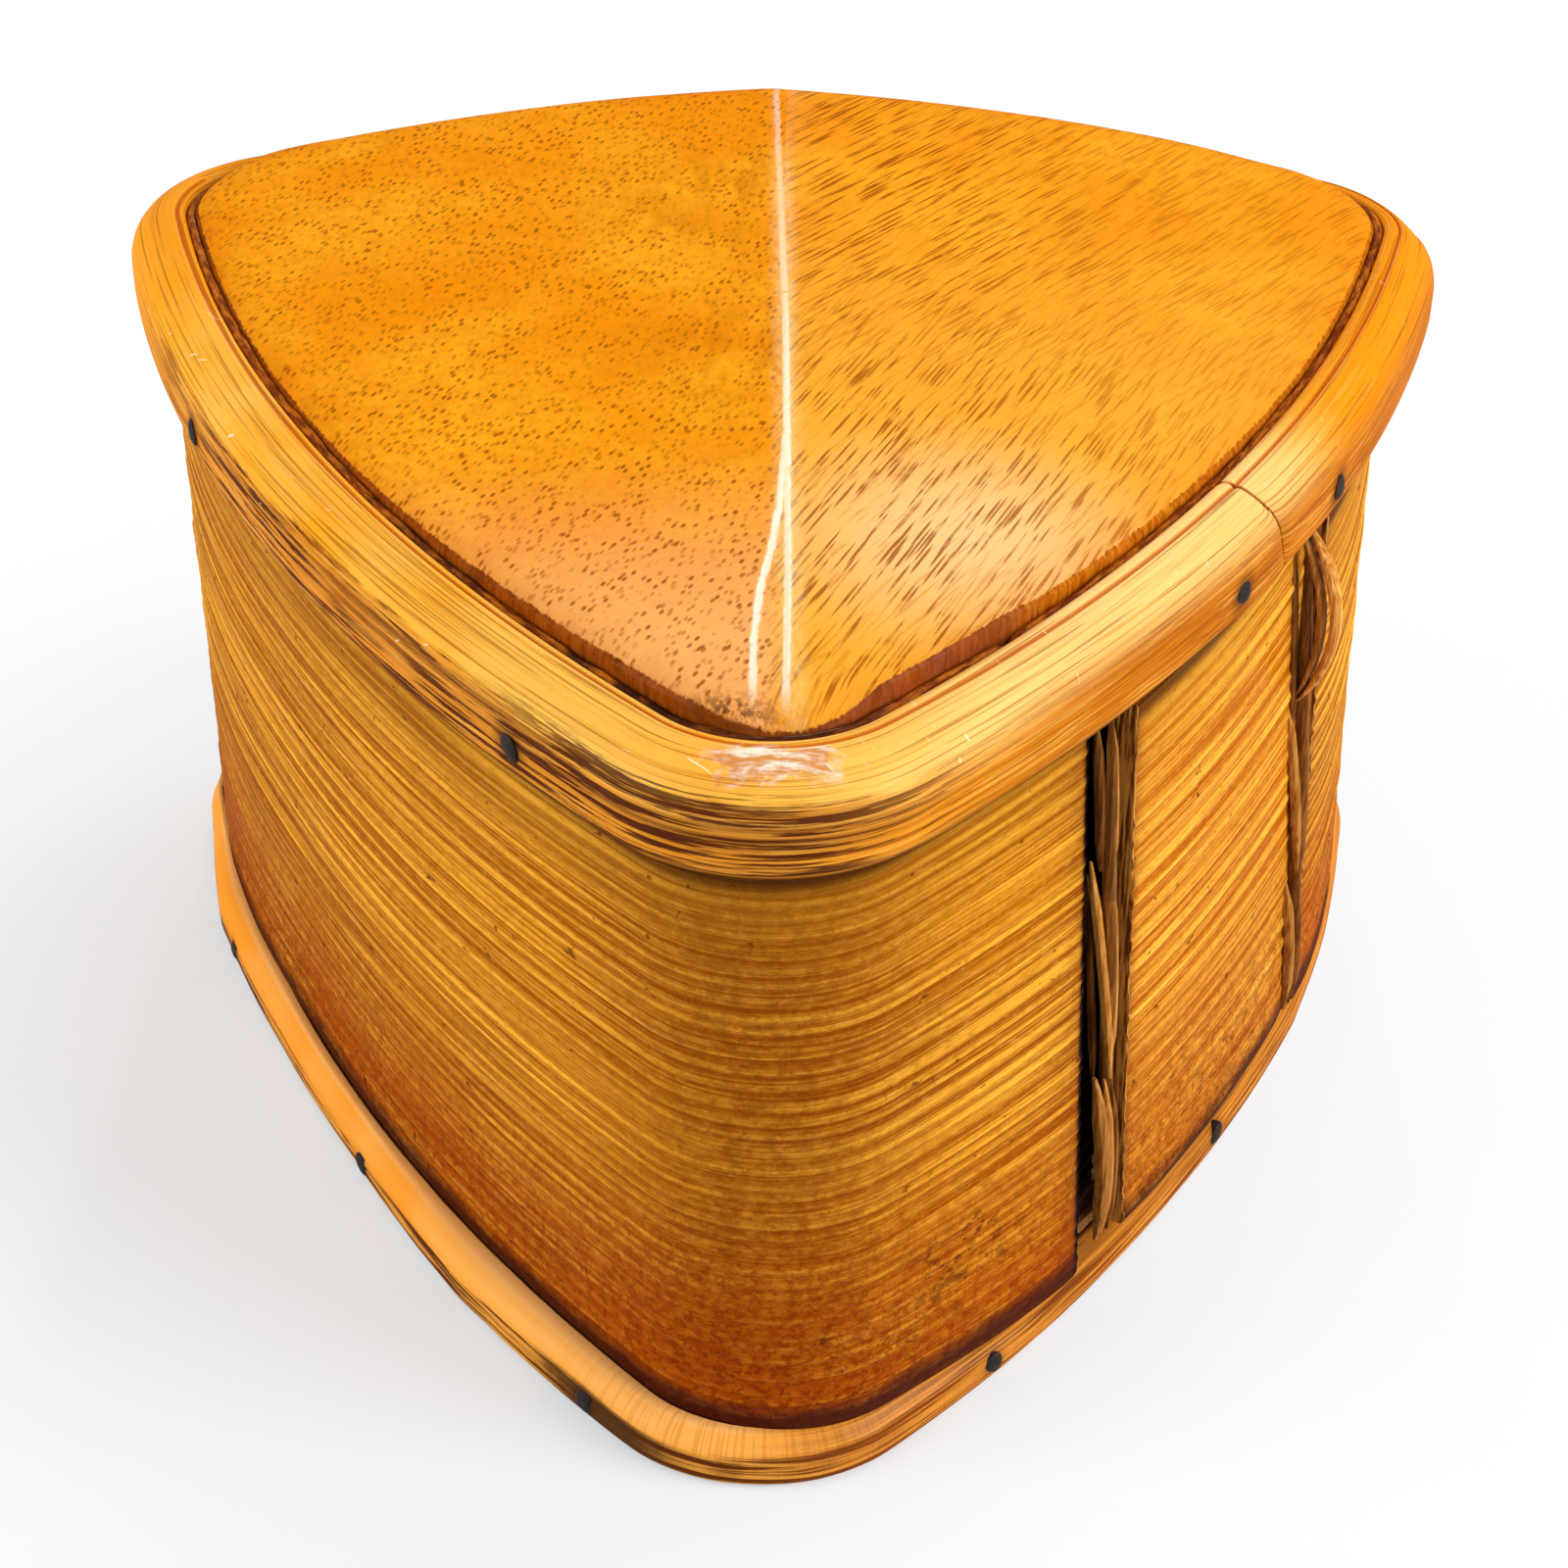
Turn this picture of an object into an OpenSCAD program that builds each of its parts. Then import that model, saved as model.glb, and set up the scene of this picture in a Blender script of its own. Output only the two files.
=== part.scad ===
// Trinket box with a rounded three-cornered plan: bent sheet wall, sewn laps, lift-off carved lid.

/* [Plan] */
// Distance from the middle of the plan to the centre of each rounded corner
corner_reach = 47.3; // [35:0.1:60]
// Radius of each corner on the outer face of the wall
corner_r = 11.8; // [8:0.1:18]
// Radius of the bowed sides on the outer face of the wall
side_r = 168; // [130:1:260]

/* [Wall] */
// Thickness of the bent sheet
wall_t = 1.6; // [1.2:0.1:2]
// Height of the wall's top edge above the table
wall_top = 54.3; // [45:0.1:80]
// Length of sheet that lies under the next ply at a lap
lap_len = 7; // [5:0.5:9]
// Space left between the plies at a lap
lap_gap = 1.2; // [0.8:0.1:1.5]
// Rear lap's free edge, measured round from the middle of its side
rear_lap_at = 10; // [6:0.5:14]

/* [Lacing] */
// Width of the lacing strip
lace_w = 2.6; // [2:0.1:3.4]
// Thickness of the lacing strip
lace_t = 0.9; // [0.6:0.1:1.2]
// How far a stitch stands off the wall in its middle
lace_rise = 0.8; // [0.7:0.1:1.4]
// Distance from a lap's free edge to the lacing
lace_inset = 0.5; // [0.4:0.1:1]
// Distance from the wall's top edge down to the lacings' upper holes
lace_head = 2.5; // [1.7:0.1:5]
// Distance from the lapped plies' foot up to the lacings' lower holes
lace_heel = 1.65; // [1.5:0.05:4]
// Front lacing's upper hole, as a share of the lacing's length
front_upper_at = 0.74; // [0.62:0.01:0.8]
// Front lacing's lower hole, as a share of the lacing's length
front_lower_at = 0.27; // [0.2:0.01:0.4]
// Rear lacing's upper hole, as a share of the lacing's length
rear_upper_at = 0.65; // [0.55:0.01:0.78]
// Rear lacing's lower hole, as a share of the lacing's length
rear_lower_at = 0.23; // [0.2:0.01:0.4]
// Room round the lacing in its slits
slit_clear = 0.15; // [0.1:0.05:0.3]

/* [Base] */
// Thickness of the base board under the wall
base_t = 4; // [3:0.1:6]
// Height of the raised middle of the base board, inside the wall
base_plug_h = 3; // [2:0.1:5]
// Room between the raised middle and the wall
base_plug_clear = 0.3; // [0.25:0.05:0.5]
// Height of the base moulding
moulding_h = 4.5; // [4:0.1:7]
// Thickness of the base moulding outside the wall
moulding_t = 3.2; // [2.6:0.1:4]
// Radius of the moulding's upper edge
moulding_top_r = 2.3; // [1:0.1:2.5]
// Radius of the moulding's lower edge
moulding_foot_r = 0.8; // [0.3:0.1:1.2]
// Space between the proud plies and the moulding under them
foot_gap = 0.25; // [0.1:0.05:0.4]
// Height of the base nails above the table
base_nail_z = 1.7; // [1.4:0.1:2]

/* [Lid] */
// Height of the lid's rim
rim_h = 8.9; // [8:0.1:12]
// How far the rim stands out past the wall
rim_out = 2.7; // [2.3:0.1:3.1]
// How far the rim reaches in over the wall's top edge
rim_in = 2.2; // [1.8:0.1:2.6]
// Radius of the rim's upper edge
rim_top_r = 4.2; // [2:0.1:4.4]
// Radius of the rim's lower edge
rim_foot_r = 2.5; // [1:0.1:2.7]
// Width of the saw cut where the rim's ends meet
rim_joint_w = 0.3; // [0.2:0.05:0.6]
// Place of the rim's joint, measured round from the middle of the right-front side
rim_joint_at = -1.5; // [-6:0.5:4]
// Lean of the rim's joint out of the upright, in degrees
rim_joint_lean = 24; // [0:1:30]
// Height of the rim's nails above the rim's lower edge
rim_nail_h = 3.4; // [2.8:0.1:4.4]
// Thickness of the panel left out above the wall's top edge
panel_lift = 0.6; // [0.3:0.1:1.5]
// Rise of the ridge over the rim at its back end
ridge_back = 5.1; // [3:0.1:8]
// Rise of the ridge over the rim at its front end
ridge_front = 1.7; // [1.4:0.1:2.6]
// Radius of the lid's two convex facets
facet_r = 700; // [400:10:1500]
// Length of the blunt slope at the ridge's front end
blunt_len = 3; // [2:0.1:5]
// Width of the groove between panel and rim
groove_w = 1.3; // [0.8:0.1:2]
// Depth of the groove between panel and rim
groove_d = 2.2; // [1.5:0.1:3]
// Depth of the edge strip's top below the rim
strip_sink = 0.4; // [0.2:0.1:0.8]
// Place of the edge strip's ends, measured round from the middle of the right-front side
strip_end_at = -31; // [-36:0.5:-24]
// Space between the edge strip's ends
strip_end_gap = 1.2; // [0.5:0.1:3]
// Thickness of the lip under the lid
lip_t = 1.5; // [1.2:0.1:2]
// Depth of the lip below the wall's top edge
lip_drop = 4.6; // [3:0.1:8]
// Depth of the lip's seat in the panel
lip_seat = 1.2; // [0.8:0.1:2]
// Room between the lip and the wall
lip_clear = 0.5; // [0.3:0.05:0.9]
// Space between the closed lid and the wall's top edge
lid_seat = 0.1; // [0.05:0.05:0.3]

/* [Nails] */
// Diameter of a nail's head
nail_head_d = 1.7; // [1.2:0.1:2]
// Diameter of a nail's shank
nail_d = 0.9; // [0.7:0.1:1]
// Depth of a nail's head
nail_head_h = 0.8; // [0.5:0.1:1]
// Length of a nail
nail_len = 10; // [8:0.5:12]
// Room round a nail in its hole
nail_clear = 0.06; // [0.04:0.01:0.1]

/* [Hidden] */
$fn = 96;

// Glue line between faces that lie on each other
glue = 0.08;
// Overrun of cutting shapes past the faces they cut
over = 1;
// Height by which a corner arc stands proud where it runs into the side arcs
blend = 0.15;
// Length over which joined stretches of one sheet run into each other
overlap = 0.6;

// The plan: three corner arcs and three side arcs, each tangent to the next
half_spread = corner_reach * cos(30);
side_half = asin(half_spread / (side_r - corner_r));
corner_half = 60 - side_half;
side_back = (side_r - corner_r) * cos(side_half) - corner_reach / 2;
side_reach = side_r - side_back;
front_reach = corner_reach + corner_r + blend;
y_shift = (front_reach - side_reach) / 2;

// The laps: plies of one arc, swung out about the right corner and repeated at one pitch
lap_step = wall_t + lap_gap;
rear_lap_a = turn_of(rear_lap_at);
pitch_a = side_half - rear_lap_a;
front_lap_a = rear_lap_a - pitch_a;
lap_a = turn_of(lap_len);
swing_a = lap_step / ((side_r - corner_r) * sin(pitch_a)) * 180 / PI;
overlap_a = overlap / corner_r * 180 / PI;
tongue_a = side_half - turn_of(overlap) - swing_a * corner_r / side_r;
tongue_dip = swing_a * PI / 180 * (side_r - corner_r) * sin(lap_a);
ply_foot = moulding_h + foot_gap;
tongue_foot = base_t + base_plug_h + foot_gap;

// The lacing: tucks go through both plies, and stitches start a little below the outer face
tuck_h = 2.2;
stitch_dip = 0.1;
tuck_rise = lace_t / 2;
tuck_depth = 2 * wall_t + lap_gap - slit_clear;
lace_foot = ply_foot + lace_heel;
lace_len = wall_top - lace_head - lace_foot;
front_holes = [for (t = [0, front_lower_at, front_upper_at, 1]) lace_foot + t * lace_len];
rear_holes = [for (t = [0, rear_lower_at, rear_upper_at, 1]) lace_foot + t * lace_len];

// The lid, from the wall's top edge upwards
rim_z = wall_top + lid_seat;
rim_top = rim_z + rim_h;
panel_z = rim_z + panel_lift;
panel_edge = -rim_in - glue;
ridge_back_y = side_reach + panel_edge;
ridge_front_y = -front_reach - panel_edge + groove_w + blunt_len;
ridge_tilt = atan((ridge_back - ridge_front) / (ridge_back_y - ridge_front_y));
facet_span = half_spread + corner_r + panel_edge;
facet_drop = ridge_front + (corner_reach / 2 - ridge_front_y) * tan(ridge_tilt);
lip_edge = -wall_t - tongue_dip - lip_clear;
block = 3 * front_reach;

// Nail places: [side, share of the way from the middle of that side to its end]
side_run = side_half * PI / 180 * side_r;
rim_nail_at = [[0, -0.19], [0, 0.21], [1, -0.63], [1, 0.09], [1, 0.72], [2, -0.36], [2, 0.78]];
base_nail_at = [
    [0, -0.76], [0, -0.02], [1, -0.81], [1, -0.22],
    [1, 0.49], [2, -0.54], [2, 0.17], [2, 0.9]
];

function turn_of(length) = length / side_r * 180 / PI;

// Puts the middle of the whole box over the origin
module centred() {
    translate([0, y_shift, 0]) children();
}

// The filled plan, grown or shrunk from the wall's outer face
module plan(off) {
    difference() {
        intersection_for (i = [0:2]) rotate(120 * i - 30) translate([-side_back, 0]) circle(side_r + off);
        corner_wedges();
    }
    for (i = [0:2]) rotate(120 * i) translate([0, -corner_reach]) circle(corner_r + off + blend);
}

// The part of the plan outside the radii on which corner and side arcs meet
module corner_wedges() {
    far = 2 * front_reach * [sin(corner_half), -cos(corner_half)];
    for (i = [0:2]) rotate(120 * i) translate([0, -corner_reach]) polygon([[0, 0], [-far.x, far.y], far]);
}

// An upright slab or ring of the plan
module plan_slab(off, z0, z1) {
    translate([0, 0, z0]) linear_extrude(z1 - z0) plan(off);
}

module plan_ring(off_in, off_out, z0, z1) {
    translate([0, 0, z0]) linear_extrude(z1 - z0) difference() {
        plan(off_out);
        plan(off_in);
    }
}

// A slab of the plan with two rounded outer edges, built from drums of the same section
module rounded_slab(off, z0, z1, top_r, foot_r) {
    difference() {
        intersection_for (i = [0:2]) rotate(120 * i - 30) translate([-side_back, 0, 0])
            drum(side_r + off, z0, z1, top_r, foot_r);
        translate([0, 0, z0 - over]) linear_extrude(z1 - z0 + 2 * over) corner_wedges();
    }
    for (i = [0:2]) rotate(120 * i) translate([0, -corner_reach, 0])
        drum(corner_r + off + blend, z0, z1, top_r, foot_r);
}

module drum(r, z0, z1, top_r, foot_r) {
    rotate_extrude() difference() {
        translate([0, z0]) square([r, z1 - z0]);
        translate([r - top_r, z1 - top_r]) edge_cut(top_r);
        translate([r - foot_r, z0 + foot_r]) mirror([0, 1]) edge_cut(foot_r);
    }
}

module edge_cut(r) {
    difference() {
        square(r + over);
        circle(r);
    }
}

// Stands on one side's outer face: x points out, z points up
module on_side(i, at, z = 0) {
    rotate(120 * i - 30) translate([-side_back, 0, 0])
        rotate(turn_of(at)) translate([side_r, 0, z]) children();
}

// One of the lapped plies, swung out about the right corner, turned back by whole pitches
module lapped(turns) {
    swing_at = (side_r - corner_r) * [cos(side_half), sin(side_half), 0];
    rotate(-30) translate([-side_back, 0, 0]) rotate(-turns * pitch_a)
        translate(swing_at) rotate(swing_a) translate(-swing_at) children();
}

module ply(turns, from_a, to_a, sink = 0) {
    lapped(turns) band(side_r - wall_t - sink, side_r - sink, from_a, to_a);
}

// Shortens a ply from below, over part of its length
module foot_cut(turns, from_a, to_a, foot) {
    lapped(turns) linear_extrude(foot) band(side_r - 2 * lap_step, side_r + lap_step, from_a, to_a);
}

// A flat band of one arc between two turns
module band(r_in, r_out, from_a, to_a) {
    far = 2 * r_out;
    intersection() {
        difference() {
            circle(r_out);
            circle(r_in);
        }
        polygon([[0, 0], far * [cos(from_a), sin(from_a)], far * [cos(to_a), sin(to_a)]]);
    }
}

// The stretch of plain wall that the laps take the place of
module lapped_stretch() {
    rotate(-30) translate([-side_back, 0])
        band(side_r - lap_step, side_r + lap_step, front_lap_a, side_half);
    rotate(120) translate([0, -corner_reach]) rotate(-90 - corner_half)
        band(corner_r - lap_step, corner_r + lap_step, -over, swing_a - overlap_a);
}

// Stands in the middle of a lacing on the outer face of its upper ply
module on_lacing(turns) {
    lapped(turns) rotate(rear_lap_a + turn_of(lace_inset + lace_w / 2))
        translate([side_r, 0, 0]) children();
}

module lacing_slits(turns, holes) {
    slit_w = lace_w + 2 * slit_clear;
    slit_h = tuck_h + 2 * slit_clear;
    slit_depth = 2 * lap_step + over;
    on_lacing(turns) for (z = holes)
        translate([-slit_depth, -slit_w / 2, z - slit_h / 2]) cube([slit_depth + over, slit_w, slit_h]);
}

module all_slits() {
    lacing_slits(1, front_holes);
    lacing_slits(0, rear_holes);
}

// The outline of a bowed stitch between two holes
module stitch(z0, z1) {
    bow = lace_rise + stitch_dip;
    bow_r = (pow((z1 - z0) / 2, 2) + bow * bow) / (2 * bow);
    bow_half = asin((z1 - z0) / 2 / bow_r);
    translate([lace_rise - bow_r, (z0 + z1) / 2]) band(bow_r, bow_r + lace_t, -bow_half, bow_half);
}

module lacing(turns, holes) {
    on_lacing(turns) rotate([90, 0, 0]) linear_extrude(lace_w, center = true) {
        for (i = [0:len(holes) - 2]) stitch(holes[i], holes[i + 1]);
        for (z = holes) translate([-tuck_depth, z - tuck_h / 2]) square([tuck_depth + tuck_rise, tuck_h]);
    }
}

// A nail lying along -x, its head's face at the origin
module nail(room = 0) {
    point_len = nail_d;
    face = room > 0 ? -over : 0;
    rotate([0, -90, 0]) rotate_extrude() polygon([
        [0, face],
        [nail_head_d / 2 + room, face],
        [nail_head_d / 2 + room, nail_head_h / 2],
        [nail_d / 2 + room, nail_head_h + room],
        [nail_d / 2 + room, nail_len - point_len],
        [0, nail_len + room]
    ]);
}

module rim_nails(room = 0) {
    for (n = rim_nail_at) on_side(n[0], n[1] * side_run, rim_z + rim_nail_h)
        translate([rim_out - glue, 0, 0]) nail(room);
}

module moulding_nails(room = 0) {
    for (n = base_nail_at) on_side(n[0], n[1] * side_run, base_nail_z)
        translate([moulding_t - glue, 0, 0]) nail(room);
}

module wall_sheet() {
    color("goldenrod") centred() difference() {
        translate([0, 0, base_t]) linear_extrude(wall_top - base_t) {
            difference() {
                plan(0);
                plan(-wall_t);
                lapped_stretch();
            }
            ply(0, rear_lap_a, side_half);
            ply(2, tongue_a, side_half + lap_a, blend);
        }
        foot_cut(0, rear_lap_a - over, side_half + turn_of(overlap), ply_foot);
        foot_cut(2, side_half, side_half + lap_a + over, tongue_foot);
        all_slits();
    }
}

module wall_panel() {
    color("orange") centred() difference() {
        translate([0, 0, ply_foot]) linear_extrude(wall_top - ply_foot)
            ply(1, rear_lap_a, side_half + lap_a);
        foot_cut(1, side_half, side_half + lap_a + over, tongue_foot);
        all_slits();
    }
}

module front_lacing() {
    color("peru") centred() lacing(1, front_holes);
}

module rear_lacing() {
    color("peru") centred() lacing(0, rear_holes);
}

module base_board() {
    color("burlywood") centred() difference() {
        union() {
            plan_slab(-glue, 0, base_t - glue);
            plan_slab(-wall_t - base_plug_clear, 0, base_t + base_plug_h);
        }
        moulding_nails(nail_clear);
    }
}

module base_moulding() {
    color("darkorange") centred() difference() {
        rounded_slab(moulding_t, 0, moulding_h, moulding_top_r, moulding_foot_r);
        plan_slab(glue, -over, moulding_h + over);
        moulding_nails(nail_clear);
    }
}

module base_nails() {
    color("dimgray") centred() moulding_nails();
}

// One of the lid's facets: a long shallow drum through the ridge and the lid's side corner
module facet(side) {
    chord = norm([facet_span, facet_drop]);
    fall_a = atan(facet_drop / facet_span);
    drum_depth = sqrt(facet_r * facet_r - chord * chord / 4);
    translate([0, ridge_front_y, rim_top + ridge_front]) rotate([ridge_tilt, side * fall_a, 0])
        translate([side * chord / 2, 0, -drum_depth]) rotate([90, 0, 0])
            cylinder(r = facet_r, h = 2 * block, center = true, $fn = 360);
}

module blunt_end() {
    blunt_a = atan(ridge_front / blunt_len);
    translate([0, ridge_front_y, rim_top + ridge_front]) rotate([blunt_a, 0, 0])
        translate([-block / 2, -block, 0]) cube([block, block, block]);
}

module lip_ring(room = 0) {
    plan_ring(lip_edge - lip_t - room, lip_edge + room, rim_z - lip_drop, panel_z + lip_seat + room);
}

module lid_panel() {
    color("darkgoldenrod") centred() difference() {
        intersection() {
            plan_slab(panel_edge, panel_z, rim_top + ridge_back + over);
            facet(1);
            facet(-1);
        }
        blunt_end();
        plan_ring(panel_edge - groove_w, panel_edge + over, rim_top - groove_d,
            rim_top + ridge_back + over);
        lip_ring(glue);
        rim_nails(nail_clear);
    }
}

module lid_rim() {
    color("orange") centred() difference() {
        rounded_slab(rim_out, rim_z, rim_top, rim_top_r, rim_foot_r);
        plan_slab(-rim_in, rim_z - over, rim_top + over);
        on_side(0, rim_joint_at, rim_z + rim_h / 2) rotate([rim_joint_lean, 0, 0])
            translate([-rim_in - over, -rim_joint_w / 2, -rim_h])
                cube([rim_in + rim_out + 2 * over, rim_joint_w, 2 * rim_h]);
        rim_nails(nail_clear);
    }
}

module lid_rim_nails() {
    color("dimgray") centred() rim_nails();
}

module edge_strip() {
    strip_z = rim_top - groove_d + glue;
    cut_depth = rim_in + groove_w + 2 * over;
    color("saddlebrown") centred() difference() {
        plan_ring(panel_edge - groove_w + glue, panel_edge, strip_z, rim_top - strip_sink);
        on_side(0, strip_end_at, strip_z - over)
            translate([-cut_depth, -strip_end_gap / 2, 0])
                cube([cut_depth, strip_end_gap, groove_d + 2 * over]);
    }
}

module lid_lip() {
    color("tan") centred() lip_ring();
}

wall_sheet();
wall_panel();
front_lacing();
rear_lacing();
base_board();
base_moulding();
base_nails();
lid_panel();
lid_rim();
lid_rim_nails();
edge_strip();
lid_lip();
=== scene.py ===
import math

import bpy
import numpy as np
from mathutils import Matrix, Vector


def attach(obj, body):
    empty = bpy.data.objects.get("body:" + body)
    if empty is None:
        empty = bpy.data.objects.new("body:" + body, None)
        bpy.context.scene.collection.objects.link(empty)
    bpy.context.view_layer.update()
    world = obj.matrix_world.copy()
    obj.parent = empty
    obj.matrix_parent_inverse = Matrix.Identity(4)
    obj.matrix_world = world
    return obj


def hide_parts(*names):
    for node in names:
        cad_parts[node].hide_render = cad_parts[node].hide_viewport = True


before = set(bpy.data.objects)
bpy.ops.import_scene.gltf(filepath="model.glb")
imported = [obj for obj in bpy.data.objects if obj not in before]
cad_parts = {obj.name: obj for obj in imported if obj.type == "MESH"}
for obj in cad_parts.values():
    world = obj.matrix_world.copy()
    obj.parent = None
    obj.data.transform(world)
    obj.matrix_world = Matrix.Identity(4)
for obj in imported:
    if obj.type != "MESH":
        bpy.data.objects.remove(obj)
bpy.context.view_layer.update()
mm = 0.001

# the plan: three long bowed sides and three round corners
plan = {
    "cornerReach": 47.3,
    "cornerRadius": 11.8,
    "sideRadius": 168.0,
    "shift": 9.1666,
    "swing": 5.03,
    "rearLap": 10.0,
}
span = plan["sideRadius"] - plan["cornerRadius"]
sideHalf = math.degrees(math.asin(plan["cornerReach"] * math.cos(math.pi / 6) / span))
cornerHalf = 60 - sideHalf
sideBack = span * math.cos(math.radians(sideHalf)) - plan["cornerReach"] / 2


def aim(degrees):
    return np.array([math.cos(math.radians(degrees)), math.sin(math.radians(degrees))])


def turned(point, degrees):
    c, s = aim(degrees)
    return np.array([c * point[0] - s * point[1], s * point[0] + c * point[1]])


middle = np.array([0.0, plan["shift"]])


def sideCentre(i):
    return middle - sideBack * aim(120 * i - 30)


def cornerCentre(i):
    return middle + plan["cornerReach"] * aim(120 * i - 90)


def side(i, start=-sideHalf, end=sideHalf):
    return (sideCentre(i), plan["sideRadius"], end - start)


def corner(i):
    return (cornerCentre(i), plan["cornerRadius"], 2 * cornerHalf)


def sideDegrees(length):
    return math.degrees(length / plan["sideRadius"])


def aroundFrom(start, end):
    # once round, from a place on the right-front side to another on the same side
    first, last = side(0, start, sideHalf), side(0, -sideHalf, end)
    return [first, corner(1), side(1), corner(2), side(2), corner(0), last]


def stretchLength(stretches):
    return sum(radius * math.radians(degrees) for _, radius, degrees in stretches)


outlineLength = stretchLength(aroundFrom(0, 0))
halfSide = plan["sideRadius"] * math.radians(sideHalf)
cornerLength = plan["cornerRadius"] * math.radians(2 * cornerHalf)


# modelling helpers
def clearSelection():
    if bpy.context.mode != "OBJECT":
        bpy.ops.object.mode_set(mode="OBJECT")
    bpy.ops.object.select_all(action="DESELECT")


def choose(piece):
    clearSelection()
    piece.select_set(True)
    bpy.context.view_layer.objects.active = piece


def readPoints(piece):
    flat = np.empty(len(piece.data.vertices) * 3, dtype=np.float32)
    piece.data.vertices.foreach_get("co", flat)
    return flat.reshape(-1, 3).astype(float) / mm


def writePoints(piece, points):
    piece.data.vertices.foreach_set("co", (points.reshape(-1) * mm).astype(np.float32))
    piece.data.update()


def smoothStep(value, low, high):
    t = np.clip((value - low) / (high - low), 0, 1)
    return t * t * (3 - 2 * t)


def hump(value, rise, fall):
    # climbs to one over the first span and falls back over the second
    return smoothStep(value, *rise) * (1 - smoothStep(value, *fall))


def bell(value, centre, width):
    return np.exp(-(((value - centre) / width) ** 2))


def wander(rng, along, spacing):
    # smooth random swing between -1 and 1 that closes on itself once round the box
    count = max(3, int(round(outlineLength / spacing)))
    knots = rng.uniform(-1, 1, count)
    place = np.asarray(along) / outlineLength * count
    low = np.floor(place).astype(int)
    part = place - low
    part = part * part * (3 - 2 * part)
    return knots[low % count] * (1 - part) + knots[(low + 1) % count] * part


def sweep(name, section, startAim, stretches, stepLength):
    # a section drawn as a ring of points is spun along one arc after another
    clearSelection()
    bpy.ops.mesh.primitive_circle_add(vertices=len(section), radius=mm, fill_type="NOTHING")
    piece = bpy.context.object
    piece.name = name
    centre, radius, _ = stretches[0]
    out = aim(startAim)
    points = np.array([[*(centre + (radius + d) * out), z] for d, z in section])
    writePoints(piece, points)
    bpy.ops.object.mode_set(mode="EDIT")
    bpy.ops.mesh.select_all(action="SELECT")
    runs, aims = [0.0], [startAim]
    for centre, radius, degrees in stretches:
        length = radius * math.radians(degrees)
        steps = max(2, int(math.ceil(length / stepLength)))
        bpy.ops.mesh.spin(
            steps=steps,
            angle=-math.radians(degrees),
            center=(centre[0] * mm, centre[1] * mm, 0),
            axis=(0, 0, 1),
            use_auto_merge=False,
        )
        for k in range(1, steps + 1):
            runs.append(runs[-1] + length / steps)
            aims.append(aims[-1] + degrees / steps)
    bpy.ops.object.mode_set(mode="OBJECT")
    points = readPoints(piece).reshape(len(runs), len(section), 3)
    return piece, points, np.array(runs), np.array(aims)


def pushOut(points, aims, amount):
    out = np.stack([np.cos(np.radians(aims)), np.sin(np.radians(aims))], 1)
    points[:, :, :2] += amount[:, :, None] * out[:, None, :]


def slideAlong(points, aims, amount):
    way = np.stack([-np.sin(np.radians(aims)), np.cos(np.radians(aims))], 1)
    points[:, :, :2] += amount[:, :, None] * way[:, None, :]


def keepFloats(piece, name, values):
    layer = piece.data.attributes.new(name, "FLOAT", "POINT")
    layer.data.foreach_set("value", np.asarray(values, dtype=np.float32).reshape(-1))


def spread(values, count):
    # the same value for every point of a ring
    return np.repeat(values[:, None], count, 1)


def keepGrain(piece, runs, across):
    # run of the grain wrapped on a drum, so that it closes without a seam
    rings, count = len(runs), len(across)
    drum = outlineLength / (2 * math.pi)
    turn = 2 * math.pi * runs / outlineLength
    grain = np.empty((rings, count, 3), dtype=np.float32)
    grain[:, :, 0] = (drum * np.cos(turn))[:, None]
    grain[:, :, 1] = (drum * np.sin(turn))[:, None]
    grain[:, :, 2] = across
    layer = piece.data.attributes.new("grain", "FLOAT_VECTOR", "POINT")
    layer.data.foreach_set("vector", grain.reshape(-1))


def closeUp(piece, capped, angle=40):
    choose(piece)
    bpy.ops.object.mode_set(mode="EDIT")
    bpy.ops.mesh.select_all(action="SELECT")
    bpy.ops.mesh.remove_doubles(threshold=2e-6)
    if capped:
        bpy.ops.mesh.select_mode(type="EDGE")
        bpy.ops.mesh.select_all(action="DESELECT")
        bpy.ops.mesh.select_non_manifold(extend=False)
        bpy.ops.mesh.edge_face_add()
    bpy.ops.mesh.select_all(action="SELECT")
    bpy.ops.mesh.normals_make_consistent(inside=False)
    bpy.ops.object.mode_set(mode="OBJECT")
    bpy.ops.object.shade_smooth_by_angle(angle=math.radians(angle))
    clearSelection()


def acrossOf(section):
    # distance along the section's own edge
    steps = np.hypot(*np.diff(np.array(section), axis=0).T)
    return np.concatenate([[0], np.cumsum(steps)])


def arcPoints(centre, radius, start, end, count):
    return [tuple(np.array(centre) + radius * aim(a)) for a in np.linspace(start, end, count)]


# shader helpers
def tone(code):
    # colour as it is seen, two digits each for red, green and blue
    parts = [int(code[i:i + 2], 16) / 255 for i in (0, 2, 4)]
    return tuple(c / 12.92 if c <= 0.04045 else ((c + 0.055) / 1.055) ** 2.4 for c in parts) + (1.0,)


def plug(tree, socket, value):
    if isinstance(value, Wire):
        tree.links.new(value.socket, socket)
    else:
        socket.default_value = tone(value) if isinstance(value, str) else value


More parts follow.
